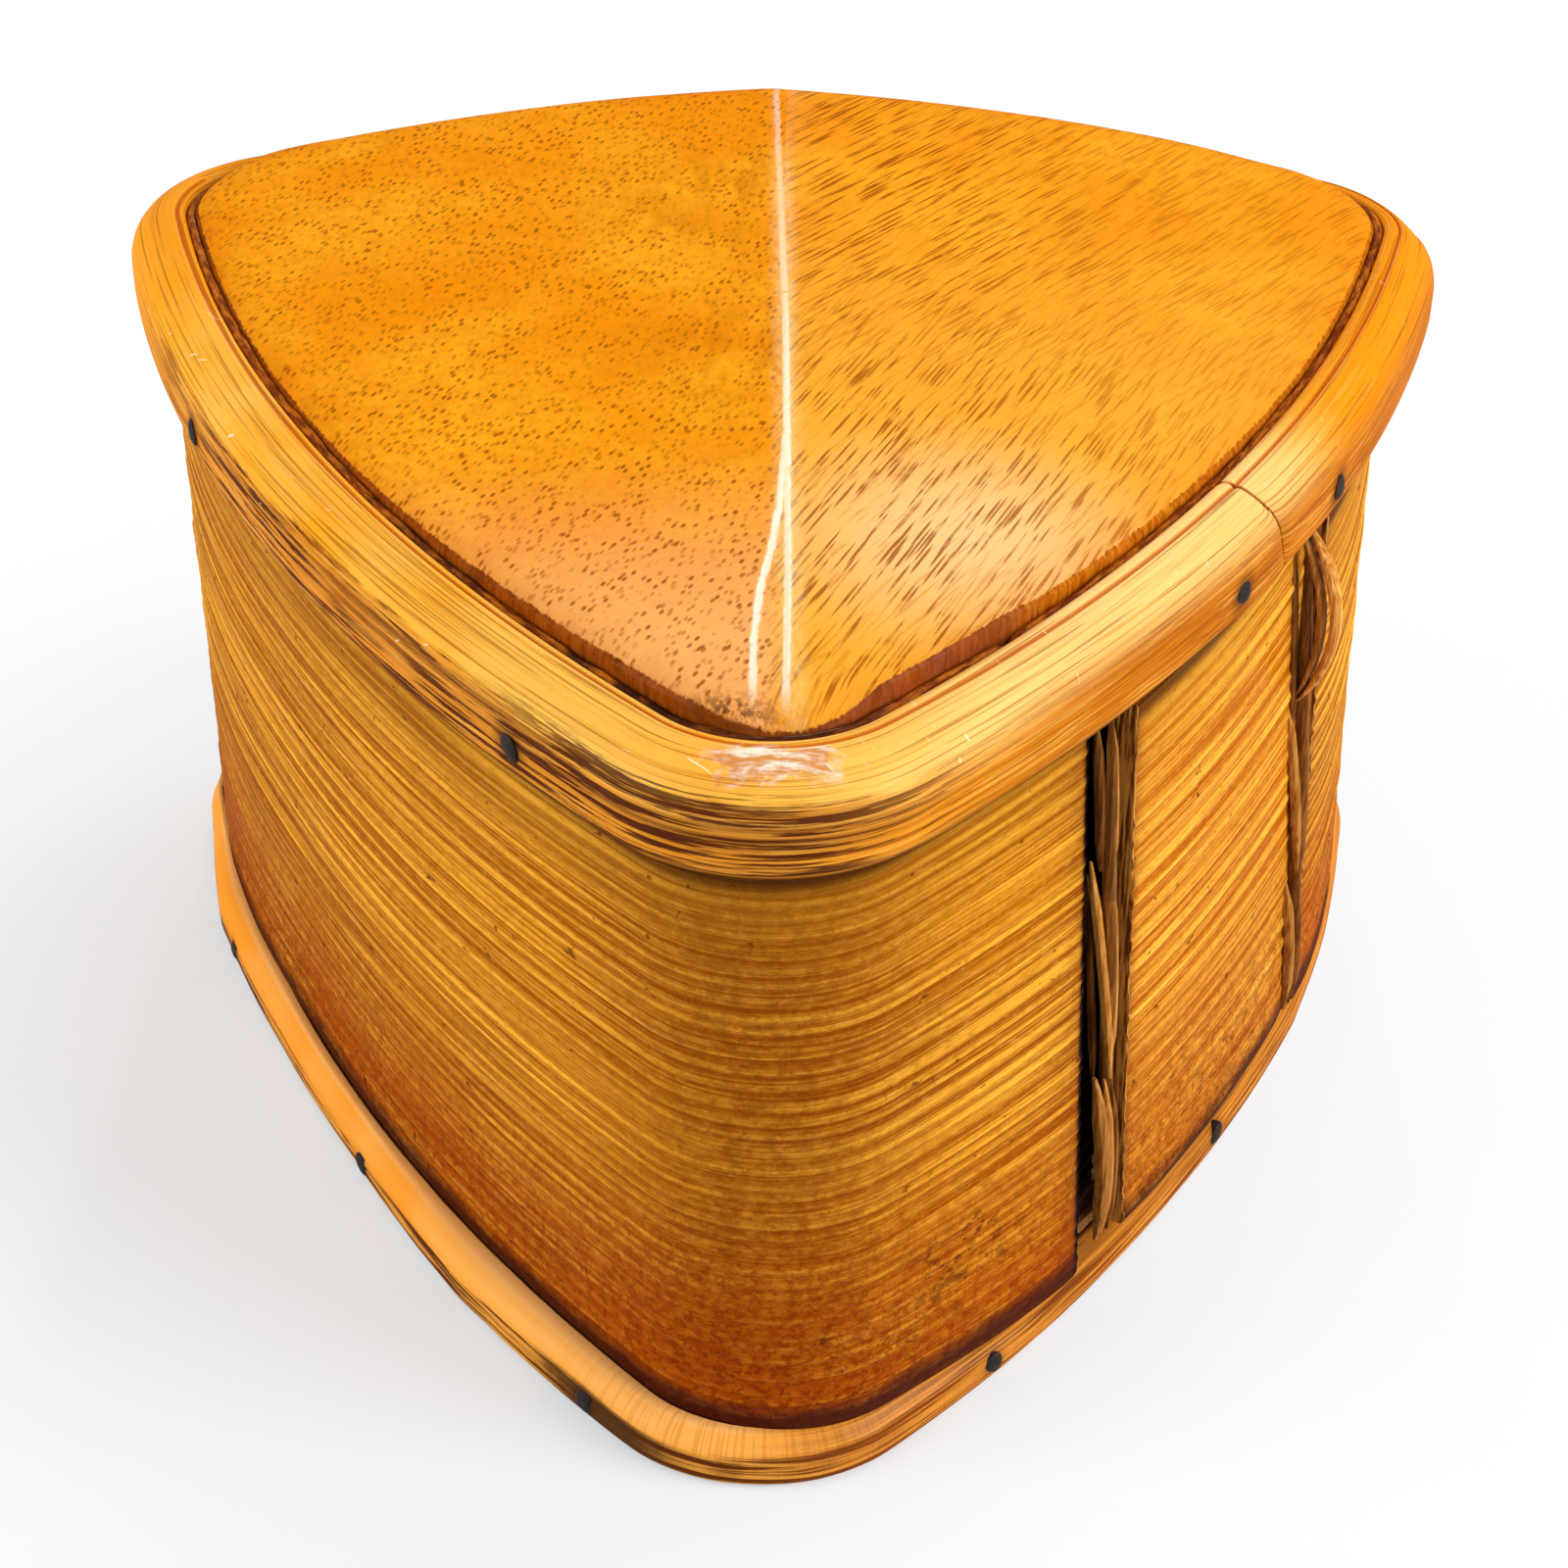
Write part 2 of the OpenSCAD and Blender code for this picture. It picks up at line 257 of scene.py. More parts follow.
class Wire:
    def __init__(self, socket):
        self.socket = socket

    def add(self, kind, settings=None, sockets=None, out=0):
        tree = self.socket.id_data
        node = tree.nodes.new(kind)
        for key, value in (settings or {}).items():
            setattr(node, key, value)
        for key, value in (sockets or {}).items():
            plug(tree, node.inputs[key], value)
        return Wire(node.outputs[out])

    def maths(self, operation, first, second=0.0, clamp=False):
        settings = {"operation": operation, "use_clamp": clamp}
        return self.add("ShaderNodeMath", settings, {0: first, 1: second})

    def __add__(self, other):
        return self.maths("ADD", self, other)

    __radd__ = __add__

    def __sub__(self, other):
        return self.maths("SUBTRACT", self, other)

    def __rsub__(self, other):
        return self.maths("SUBTRACT", other, self)

    def __mul__(self, other):
        return self.maths("MULTIPLY", self, other)

    __rmul__ = __mul__

    def size(self):
        return self.maths("ABSOLUTE", self)

    def most(self, other):
        return self.maths("MAXIMUM", self, other)

    def held(self):
        return self.maths("ADD", self, 0.0, True)

    def band(self, low, high):
        return self.add(
            "ShaderNodeMapRange",
            {"interpolation_type": "SMOOTHSTEP"},
            {"Value": self, "From Min": low, "From Max": high},
        )

    def mixed(self, first, second):
        return self.add("ShaderNodeMix", {"data_type": "RGBA"}, {0: self, 6: first, 7: second}, 2)

    def tinted(self, share, colour):
        return share.mixed(self, colour)

    def placed(self, scale=(1, 1, 1), turn=(0, 0, 0), shift=(0, 0, 0)):
        spun = tuple(math.radians(a) for a in turn)
        sockets = {"Vector": self, "Location": shift, "Rotation": spun, "Scale": scale}
        return self.add("ShaderNodeMapping", {}, sockets)

    def noise(self, scale, detail=3.0, rough=0.55, warp=0.0):
        sockets = {"Vector": self, "Scale": scale, "Detail": detail, "Roughness": rough, "Distortion": warp}
        return self.add("ShaderNodeTexNoise", {}, sockets)

    def drawn(self, scale, detail=3.0, rough=0.55):
        # noise drawn out along the grain
        return self.placed(scale).noise(1.0, detail, rough)

    def cells(self):
        sockets = {"Vector": self, "Scale": 1.0, "Randomness": 1.0}
        return self.add("ShaderNodeTexVoronoi", {"voronoi_dimensions": "2D"}, sockets)

    def blot(self, centre, radius, soft):
        apart = self.add("ShaderNodeVectorMath", {"operation": "DISTANCE"}, {0: self, 1: centre}, 1)
        return apart.band(radius + soft, max(radius - soft, 0.0))

    def axes(self):
        parted = self.add("ShaderNodeSeparateXYZ", {}, {0: self}).socket.node
        return [Wire(out) for out in parted.outputs]


class Finish:
    def __init__(self, name):
        self.material = bpy.data.materials.new(name)
        self.material.use_nodes = True
        self.tree = self.material.node_tree
        self.shader = self.tree.nodes["Principled BSDF"]
        spot = self.tree.nodes.new("ShaderNodeTexCoord")
        metres = Wire(spot.outputs["Object"])
        self.spot = metres.add("ShaderNodeVectorMath", {"operation": "SCALE"}, {0: metres, "Scale": 1 / mm})

    def kept(self, name, out="Fac"):
        return self.spot.add("ShaderNodeAttribute", {"attribute_name": name}, {}, out)

    def set(self, **values):
        names = {
            "colour": "Base Color", "rough": "Roughness", "metal": "Metallic", "coat": "Coat Weight",
            "coatRough": "Coat Roughness", "gloss": "Specular IOR Level", "normal": "Normal",
        }
        for key, value in values.items():
            plug(self.tree, self.shader.inputs[names[key]], value)

    def bump(self, height, strength, depth):
        # depth in mm for a height of one
        sockets = {"Height": height, "Strength": strength, "Distance": depth * mm}
        self.set(normal=height.add("ShaderNodeBump", {}, sockets))


def dress(piece, finish):
    piece.data.materials.clear()
    piece.data.materials.append(finish.material)


def hand(piece, body, node):
    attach(piece, body)
    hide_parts(node)
    print(piece.name, len(piece.data.polygons), "faces")


# the right-front side stands out at its foot, flush with the moulding
footLean = {
    "foot": 4.0, "top": 53.0, "sheetFoot": 2.9, "lapTop": -1.1, "lapFoot": 0.4,
    "slow": 0.4, "slowRise": (-60.0, -25.0), "evenFrom": -57.0, "evenOver": 31.0, "fade": (30.0, 46.0),
    "drop": 0.3, "dropHigh": 16.0,
    "farLeft": 0.7, "leftRise": (112.0, 134.0), "leftFade": (140.0, 152.0),
    "cornerTop": 1.0, "cornerFoot": 1.5, "cornerRise": (14.0, 40.0), "cornerFade": (60.0, 90.0),
}


def rightFront(place):
    # share of the lean at a place along the right-front side
    even = np.clip((place - footLean["evenFrom"]) / footLean["evenOver"], 0, 1)
    rise = footLean["slow"] * smoothStep(place, *footLean["slowRise"]) + (1 - footLean["slow"]) * even
    return rise * (1 - smoothStep(place, *footLean["fade"]))


def footShare(z):
    return 1 - np.clip((z - footLean["foot"]) / (footLean["top"] - footLean["foot"]), 0, 1)


def rightCorner(place):
    # share of the drawing in round the right corner
    return hump(place, footLean["cornerRise"], footLean["cornerFade"])


def leanOut(points, aims, place, lapped):
    # lapped is one at a ply's free edge, which already stands out, and nought where it lies on the wall
    z = points[:, :, 2].copy()
    low = footShare(z)
    atFoot = footLean["sheetFoot"] * (1 - lapped) + footLean["lapFoot"] * lapped
    amount = low * atFoot[:, None] + (1 - low) * footLean["lapTop"] * lapped[:, None]
    share = rightFront(place)[:, None]
    pushOut(points, aims, amount * share)
    nearFoot = 1 - np.clip((z - footLean["foot"]) / footLean["dropHigh"], 0, 1)
    points[:, :, 2] -= share * footLean["drop"] * nearFoot
    farLeft = footLean["farLeft"] * hump(-place, footLean["leftRise"], footLean["leftFade"])
    drawn = footLean["cornerTop"] + (footLean["cornerFoot"] - footLean["cornerTop"]) * low
    pushOut(points, aims, low * farLeft[:, None] - drawn * rightCorner(place)[:, None])


# wall
wall = {
    "foot": 4.05, "top": 54.25, "thick": 1.6, "step": 0.82,
    "ribGap": (0.75, 1.75), "ribHigh": (0.05, 0.17), "seed": 11,
}
panel = {"foot": 4.8, "step": 0.45, "ribGap": (1.3, 2.6), "ribHigh": (0.10, 0.24), "seed": 23}
lap = {
    "length": 7.0, "frontAt": -24.6, "reach": 34.6, "swingRun": 1.036,
    "dive": 3.0, "from": -24.2, "to": -23.0,  # the sheet's tail turns in behind the front slit
    "panelShift": 2.7, "panelLean": 2.6, "rearLean": 4.6, "leanReach": 7.0,
}
ribShape = ((0.0, 0.0), (0.22, 0.55), (0.5, 1.0), (0.78, 0.6), (1.0, 0.0))  # across its width, and how high


def ribRows(settings):
    rng = np.random.RandomState(settings["seed"])
    rows, number = [], []
    z, k = settings["foot"] + 0.25, 0
    while z < wall["top"] - 1.2:
        gap = rng.uniform(*settings["ribGap"])
        high = rng.uniform(*settings["ribHigh"])
        width = gap * rng.uniform(0.45, 0.7)
        for share, lift in ribShape:
            rows.append((z + share * width, lift * high, lift))
            number.append(k)
        z += gap
        k += 1
    return rows, np.array(number), rng


def makeWall(name, settings, startAim, stretches):
    foot, top = settings["foot"], wall["top"]
    rows, number, rng = ribRows(settings)
    section = [(-0.25, foot), (0.0, foot + 0.18)] + [(0.0, z) for z, _, _ in rows]
    section += [(0.0, top - 0.5), (-0.12, top - 0.12), (-0.5, top)]
    section += [(-wall["thick"], z) for z in np.linspace(top, foot, 9)]
    piece, points, runs, aims = sweep(name, section, startAim, stretches, settings["step"])
    lift = np.zeros(len(section))
    share = np.zeros(len(section))
    lift[2:2 + len(rows)] = [h for _, h, _ in rows]
    share[2:2 + len(rows)] = [s for _, _, s in rows]
    strength = np.ones((len(runs), len(section)))
    drift = np.zeros((len(runs), len(section)))
    for k in range(number.max() + 1):
        own = np.where(number == k)[0] + 2
        swell = 0.75 + 0.45 * wander(rng, runs, 26.0) + 0.2 * wander(rng, runs, 7.0)
        strength[:, own] = swell[:, None]
        drift[:, own] = (0.16 * wander(rng, runs, 60.0) + 0.05 * wander(rng, runs, 12.0))[:, None]
    strength = np.clip(strength, 0.1, 1.5)
    pushOut(points, aims, lift * strength)
    points[:, :, 2] += drift
    keepFloats(piece, "rib", share * strength)
    return piece, points, runs, aims, np.array(section)


def finishWall(piece, points, runs, aims, place, lapped, edgeLean, freeEdge, cutReach):
    leanOut(points, aims, place, lapped)
    nearEdge = np.exp(-runs / lap["leanReach"])
    slideAlong(points, aims, edgeLean * footShare(points[:, :, 2]) * nearEdge[:, None])
    dive = smoothStep(place, lap["from"], lap["to"]) * (runs > 200)  # only at the sheet's tail
    pushOut(points, aims, -lap["dive"] * spread(dive, points.shape[1]))
    writePoints(piece, points)
    keepGrain(piece, runs, points[:, :, 2].mean(0))
    keepFloats(piece, "freeEdge", freeEdge)
    keepFloats(piece, "cut", spread(np.exp(-runs / cutReach), points.shape[1]))
    closeUp(piece, True, 60)


rearLap = sideDegrees(plan["rearLap"])
pitch = sideHalf - rearLap
frontLap = rearLap - pitch


def swung(turn):
    # centre of the right-front side's arc after its ply is swung out about its far end
    hinge = turned((span, 0), sideHalf)
    centre = turned(hinge + turned(-hinge, plan["swing"]), -turn * pitch)
    return sideCentre(0) + turned(centre, -30)


def hingeAt(turn):
    return sideCentre(0) + turned(turned((span, 0), sideHalf - turn * pitch), -30)


lapDegrees = sideDegrees(lap["length"])
sheetWay = [
    (swung(0), plan["sideRadius"], sideHalf - rearLap),
    (cornerCentre(1), plan["cornerRadius"], 2 * cornerHalf - plan["swing"]),
    side(1), corner(2), side(2), corner(0),
    side(0, -sideHalf, frontLap),
    (hingeAt(2), plan["cornerRadius"], plan["swing"]),
    (swung(2), plan["sideRadius"], lapDegrees),
]
sheetAim = -30 + plan["swing"] + rearLap
wallSheet, points, runs, aims, section = makeWall("wallSheet", wall, sheetAim, sheetWay)
endRun = runs[-1] - lap["swingRun"] - lap["length"]
frontPlace = math.radians(frontLap) * plan["sideRadius"]
place = np.where(runs < 120, plan["rearLap"] + runs, runs - endRun + frontPlace)
lapped = np.where(runs < 60, np.clip(1 - runs / lap["reach"], 0, 1), 0.0)
freeEdge = np.exp(-np.maximum(0, lap["from"] - place) / 1.6) * (runs > 200) + 0.6 * np.exp(-runs / 1.2)
outside = section[:, 0] > -1.0
freeEdge = freeEdge[:, None] * outside
finishWall(wallSheet, points, runs, aims, place, lapped, lap["rearLean"], freeEdge, 0.3)
hand(wallSheet, "box", "wall_sheet")

panelStart = rearLap + sideDegrees(lap["panelShift"])
panelWay = [(swung(1), plan["sideRadius"], sideHalf + lapDegrees - panelStart)]
panelAim = -30 - pitch + plan["swing"] + panelStart
wallPanel, points, runs, aims, section = makeWall("wallPanel", panel, panelAim, panelWay)
place = lap["frontAt"] + lap["panelShift"] + runs
lapped = np.clip(1 - (runs + lap["panelShift"]) / lap["reach"], 0, 1)
freeEdge = spread(np.exp(-runs / 0.8), len(section))
finishWall(wallPanel, points, runs, aims, place, lapped, lap["panelLean"], freeEdge, 0.2)
hand(wallPanel, "box", "wall_panel")

# base moulding
moulding = {
    "high": 4.5, "out": 3.2, "in": 0.1, "topRadius": 2.3, "footRadius": 0.8, "step": 0.7, "seed": 5,
    "sunk": 0.33, "rough": 0.06, "edgeDeep": 0.14, "edgeAt": 2.25,
}
drawnIn = [  # place round the box, and how far the strip is drawn in there
    (-161.3, 2.1), (-150, 1.6), (-137, 0.3), (-118, 0.9), (-102, 1.0), (-83, 0.15), (-64, 0.45),
    (-54, 0.95), (-45, 0.9), (-30, 0.5), (0, 0.4), (17, 0.2), (30, 0.8), (44, 1.9), (54, 2.1),
    (70, 1.5), (107, 1.0), (150, 1.8), (161.3, 2.1),
]


def mouldingIn(place):
    return np.interp(place, *zip(*drawnIn))


def placeOf(runs):
    # distance either way from the middle of the right-front side
    return (runs + outlineLength / 2) % outlineLength - outlineLength / 2


outer, inner, top = moulding["out"], moulding["in"], moulding["high"]
footRound, topRound = moulding["footRadius"], moulding["topRadius"]
section = [(inner, 0.02)]
section += arcPoints((outer - footRound, footRound + 0.02), footRound, -90, 0, 7)
section += [(outer, z) for z in (1.1, 1.4, 1.7, 2.0)]
section += arcPoints((outer - topRound, top - topRound), topRound, 0, 90, 20)
section += [(0.6, top), (0.3, top - 0.04), (inner, top - 0.3), (inner, 2.2)]
baseMoulding, points, runs, aims = sweep("baseMoulding", section, -30, aroundFrom(0, 0), moulding["step"])
rng = np.random.RandomState(moulding["seed"])
place = placeOf(runs)
share = rightFront(place)[:, None]
offset, height = np.array(section).T
points[:, :, 2] *= 1 - moulding["sunk"] * share
reachOut = smoothStep(offset, 0.3, 2.6)
pushOut(points, aims, -mouldingIn(place)[:, None] * reachOut)
pushOut(points, aims, -footLean["cornerFoot"] * rightCorner(place)[:, None] * (1 - reachOut))
rough = moulding["rough"] * np.stack([wander(rng, runs, 3.0 + 0.4 * k) for k in range(len(section))], 1)
rough *= smoothStep(-height, -2.4, -1.4) * smoothStep(height, 0.0, 0.6)
rough -= np.maximum(0, rough.max(1))[:, None]
edgeLine = moulding["edgeDeep"] * bell(height, moulding["edgeAt"], 0.16) * (offset > 2)
pushOut(points, aims, rough - edgeLine * (1 - 0.6 * share))
writePoints(baseMoulding, points)
keepGrain(baseMoulding, runs, acrossOf(section))
closeUp(baseMoulding, False)
hand(baseMoulding, "box", "base_moulding")

# lid rim, half-round with a slanted joint
rim = {
    "foot": 54.4, "top": 63.3, "out": 2.7, "in": 2.2, "topRadius": 4.2, "footRadius": 2.5, "step": 0.6,
    "jointAt": -1.5, "jointGap": 0.16, "lean": 24.0, "middle": 58.85, "proudEnd": 0.28, "proudMost": 0.22,
    "thin": 1.9, "thinRise": (42.0, 54.0), "thinFade": (80.0, 120.0), "sunk": 0.26,
    "creaseDeep": 0.24, "creaseWide": 0.2, "grooves": 26, "grooveDeep": (0.03, 0.11), "grooveWide": 0.16,
    "innerEdge": ((-1.25, 0.01), (-1.45, 0.02), (-1.65, 0.05), (-1.85, 0.12), (-2.05, 0.28), (-2.2, 0.6)),
    "seed": 8,
}


def rimIn(place):
    # how far the rim is drawn in round the back of the right corner
    return rim["thin"] * hump(place, rim["thinRise"], rim["thinFade"])


outer, inner, foot, top = rim["out"], -rim["in"], rim["foot"], rim["top"]
footRound, topRound = rim["footRadius"], rim["topRadius"]
section = [(inner, foot + 0.3), (inner + 0.3, foot), (-0.9, foot)]
section += arcPoints((outer - footRound, foot + footRound), footRound, -90, 0, 13)
section += [(outer, z) for z in np.linspace(57.1, 58.9, 7)]
section += arcPoints((outer - topRound, top - topRound), topRound, 0, 84, 30)
section += [(d, top - drop) for d, drop in rim["innerEdge"]]
section += [(inner, z) for z in (61.5, 59.5, 57.5, 56.0)]
jointStart = sideDegrees(rim["jointAt"] + rim["jointGap"])
jointEnd = sideDegrees(rim["jointAt"] - rim["jointGap"])
rimWay = aroundFrom(jointStart, jointEnd)
lidRim, points, runs, aims = sweep("lidRim", section, -30 + jointStart, rimWay, rim["step"])
rng = np.random.RandomState(rim["seed"])
across = acrossOf(section)
offset, height = np.array(section).T
place = placeOf(runs + rim["jointAt"])
fromStart, fromEnd = runs, runs[-1] - runs
lean = -math.tan(math.radians(rim["lean"])) * (height - rim["middle"])
slideAlong(points, aims, lean * (np.exp(-fromStart / 6) + np.exp(-fromEnd / 6))[:, None])
creaseAt = -0.95 - 0.5 * smoothStep(-place, 30, 70) + 0.1 * wander(rng, runs, 40)
onTop = height > 61.5
crease = rim["creaseDeep"] * bell(offset, creaseAt[:, None], rim["creaseWide"]) * onTop
points[:, :, 2] -= crease
front = bell(place, -62.0, 34.0) + 0.35  # the grooves are deepest round the front corner
grooves = np.zeros((len(runs), len(section)))
for k in range(rim["grooves"]):
    at = rng.uniform(across[6], across[44])
    deep = rng.uniform(*rim["grooveDeep"])
    line = at + 0.5 * wander(rng, runs, 50)
    shown = np.clip(wander(rng, runs, 18) + 0.25, 0, 1)
    grooves += deep * shown[:, None] * bell(across, line[:, None], rim["grooveWide"])
grooves *= smoothStep(-across, -across[34], -across[24]) * 0.85 + 0.15
grooves *= front[:, None]
pushOut(points, aims, -grooves)
proud = rim["proudEnd"] * np.exp(-fromEnd / 5) - 0.12 * np.exp(-fromStart / 4)
lowHalf = smoothStep(offset, -1.0, 1.0)
pushOut(points, aims, np.minimum(proud, rim["proudMost"])[:, None] * lowHalf)
rounded = 0.5 * np.exp(-fromEnd / 0.7) + 0.25 * np.exp(-fromStart / 0.5)
pushOut(points, aims, -rounded[:, None] * lowHalf)
points[:, :, 2] -= 0.3 * rounded[:, None] * onTop
pushOut(points, aims, -rimIn(place)[:, None] * smoothStep(offset, -1.2, 2.0))
points[:, :, 2] -= rim["sunk"] * rimIn(place)[:, None] * onTop
pushOut(points, aims, np.full(points.shape[:2], -0.002))
writePoints(lidRim, points)
keepGrain(lidRim, runs, across)
keepFloats(lidRim, "crease", crease / rim["creaseDeep"])
keepFloats(lidRim, "groove", np.clip(grooves / 0.1, 0, 1))
closeUp(lidRim, True)
hand(lidRim, "lid", "lid_rim")

# lid panel, carved to a ridge that falls to the front corner
lid = {
    "foot": 55.0, "edge": -2.34, "groove": -3.02, "shelf": 61.1, "rows": 78, "seed": 3,
    "backEdge": -1.5, "backRise": (58.0, 74.0), "backFade": (149.0, 163.0),
    "ridgeBack": 68.28, "ridgeFall": 0.03725, "backY": 47.8,
    "facetFall": 0.0899, "bulge": 0.45, "halfWide": 50.0, "hollow": 0.07, "ridgeRound": 0.4,
    "bluntAt": -44.0, "bluntFall": 0.55,
    "fine": 0.15, "coarse": 0.8, "fineReach": 6.0,  # spacing of points, fine by the ridge's ends
}


def outlinePoint(run, offset):
    # place on the plan's outline, measured from the middle of the right-front side
    left = run % outlineLength
    heading = -30.0
    for centre, radius, degrees in aroundFrom(0, 0):
        length = radius * math.radians(degrees)
        if left <= length + 1e-9:
            return centre + (radius + offset) * aim(heading + math.degrees(left / radius))
        left -= length
        heading += degrees
    return sideCentre(0) + (plan["sideRadius"] + offset) * aim(-30)


# the ridge's crease and, from the split forwards, its left twin: y, then x
rightCrease = [(-46.0, 1.0), (-30.0, 0.95), (-16.0, 0.72), (5.0, 0.4), (48.0, -0.9)]
leftCrease = [(-46.0, -1.15), (-39.0, -1.15), (-33.0, -0.85), (-28.0, -0.2), (-22.0, 0.28), (-12.0, 0.62)]


def creases(y):
    right = np.interp(y, *zip(*rightCrease))
    left = np.where(y < leftCrease[-1][0], np.interp(y, *zip(*leftCrease)), right)
    return np.minimum(left, right), right


def flatShare(x, y):
    # the ridge widens to a narrow flat towards the front
    low, high = creases(y)
    centre, half = (low + high) / 2, (high - low) / 2 + 0.02
    return centre, half, np.clip(1 - ((x - centre) / half) ** 2, 0, 1) * smoothStep(half, 0.1, 1.0)


def lidHeight(x, y):
    ridge = lid["ridgeBack"] - lid["ridgeFall"] * (lid["backY"] - y)
    centre, half, flat = flatShare(x, y)
    away = np.maximum(0, np.abs(x - centre) - half)
    away = np.sqrt(away ** 2 + lid["ridgeRound"] ** 2) - lid["ridgeRound"]
    wide = np.clip(np.abs(x) / lid["halfWide"], 0, 1)
    dome = lid["bulge"] * 4 * wide * (1 - wide) + 0.35 * smoothStep(wide, 0.75, 1.0)
    blunt = np.maximum(0, lid["bluntAt"] + 0.25 * x - y) * lid["bluntFall"]
    blunt *= 1 - smoothStep(np.abs(x), 4.0, 9.0)
    return ridge - lid["facetFall"] * away + dome - blunt - lid["hollow"] * flat


startRun = outlineLength - halfSide - cornerLength / 2
reach, fine = lid["fineReach"], lid["fine"]
halfRuns = np.arange(reach, outlineLength / 2 - reach, lid["coarse"])
edgeRuns = startRun + np.concatenate([
    np.arange(0, reach, fine), halfRuns, outlineLength / 2 + np.arange(-reach, reach, fine),
    halfRuns + outlineLength / 2, outlineLength + np.arange(-reach, fine / 2, fine),
])
around = len(edgeRuns)
edges = np.array([outlinePoint(r, lid["groove"]) for r in edgeRuns])
wide = np.array([outlinePoint(r, lid["edge"]) for r in edgeRuns])
onBack = hump(np.mod(edgeRuns, outlineLength), lid["backRise"], lid["backFade"])
reachBack = lid["groove"] + (lid["backEdge"] - lid["groove"]) * onBack
brims = np.array([outlinePoint(r, d) for r, d in zip(edgeRuns, reachBack)])
clearSelection()
rowCount = lid["rows"] + 8
bpy.ops.mesh.primitive_grid_add(x_subdivisions=around - 1, y_subdivisions=rowCount - 1, size=mm)
lidPanel = bpy.context.object
lidPanel.name = "lidPanel"
rng = np.random.RandomState(lid["seed"])
skirt = [  # from the middle of the underside out and up to the shelf in the groove
    (middle, lid["foot"]), (wide * 0.985 + middle * 0.015, lid["foot"]), (wide, lid["foot"] + 0.4),
    (wide, lid["shelf"] - 0.1), (wide * 0.998 + middle * 0.002, lid["shelf"]), (edges, lid["shelf"]),
]
grid = np.zeros((rowCount, around, 3))
for k, (flat, z) in enumerate(skirt):
    grid[k, :, :2], grid[k, :, 2] = flat, z
notch = 0.10 * wander(rng, edgeRuns, 1.6) + 0.08 * wander(rng, edgeRuns, 5.0)
highEdge = hump(edges[:, 0], (1.0, 4.0), (15.0, 19.0)) * (edges[:, 1] < 0)
topRows = [0.0, 0.003, 0.008] + list(np.linspace(0.016, 1.0, lid["rows"] - 1))
for k, share in enumerate(topRows):
    flat = brims * (1 - share) + middle * share
    bevel = 0.22 * math.exp(-share / 0.003) + 0.55 * (1 - highEdge) * math.exp(-share / 0.016)
    ring = grid[len(skirt) + k]
    ring[:, :2] = flat
    ring[:, 2] = lidHeight(flat[:, 0], flat[:, 1]) - bevel - notch * math.exp(-share / 0.006)
writePoints(lidPanel, grid)
for name, fade in (("rim", 0.008), ("nearRim", 0.04)):
    column = np.array([1.0] * len(skirt) + [math.exp(-share / fade) for share in topRows])
    keepFloats(lidPanel, name, spread(column, around))
low, high = creases(grid[:, :, 1])
fromCrease = np.minimum(np.abs(grid[:, :, 0] - low), np.abs(grid[:, :, 0] - high))
keepFloats(lidPanel, "crest", np.exp(-(fromCrease / 0.42) ** 2))
closeUp(lidPanel, False, 24)
hand(lidPanel, "lid", "lid_panel")

# dark strip in the groove
strip = {
    "low": 61.2, "high": 62.95, "in": -3.0, "out": -2.24, "round": 0.3, "endAt": -31.0, "gap": 0.6,
    "step": 0.55, "uneven": 0.10, "thinner": 0.12, "endFall": 0.4, "seed": 14,
}
inner, outer, top, bend = strip["in"], strip["out"], strip["high"], strip["round"]
section = [(inner, strip["low"]), (outer, strip["low"]), (outer, top - 0.25)]
section += arcPoints((outer - bend, top - bend), bend, 0, 90, 5)
section += [(d, top + 0.04) for d in (-2.58, -2.62, -2.66)]
section += arcPoints((inner + bend, top - bend), bend, 90, 180, 5)
stripStart, stripEnd = (sideDegrees(strip["endAt"] + d) for d in (strip["gap"], -strip["gap"]))
stripWay = aroundFrom(stripStart, stripEnd)
edgeStrip, points, runs, aims = sweep("edgeStrip", section, -30 + stripStart, stripWay, strip["step"])
rng = np.random.RandomState(strip["seed"])
place = placeOf(runs + strip["endAt"])
up = np.array([z > 62.0 for _, z in section])
thin = smoothStep(place, -31.0, -29.0) * (1 - smoothStep(runs, 190, 215))
swell = strip["uneven"] * wander(rng, runs, 2.2) + strip["uneven"] * wander(rng, runs, 9.0)
points[:, :, 2] += up * (swell - strip["thinner"] * thin)[:, None]
ends = np.exp(-runs / 0.6) + np.exp(-(runs[-1] - runs) / 0.5)
points[:, :, 2] -= up * strip["endFall"] * ends[:, None]
writePoints(edgeStrip, points)
keepGrain(edgeStrip, runs, acrossOf(section))
closeUp(edgeStrip, True)
hand(edgeStrip, "lid", "edge_strip")

# nails, one modelled and then set all round
nail = {
    "head": 0.95, "shank": 0.45, "length": 9.0, "point": 2.0, "headHigh": 0.62, "seed": 31,
    "rimHigh": 57.8, "rimSunk": 0.25, "baseHigh": 1.7, "baseSunk": 0.36,
}
# the side, and the place along it from its middle to its end
rimNails = [(0, -0.19), (0, 0.21), (1, -0.63), (1, 0.09), (1, 0.72), (2, -0.36), (2, 0.78)]
baseNails = [(0, -0.76), (0, -0.02), (1, -0.81), (1, -0.22), (1, 0.49), (2, -0.54), (2, 0.17), (2, 0.9)]


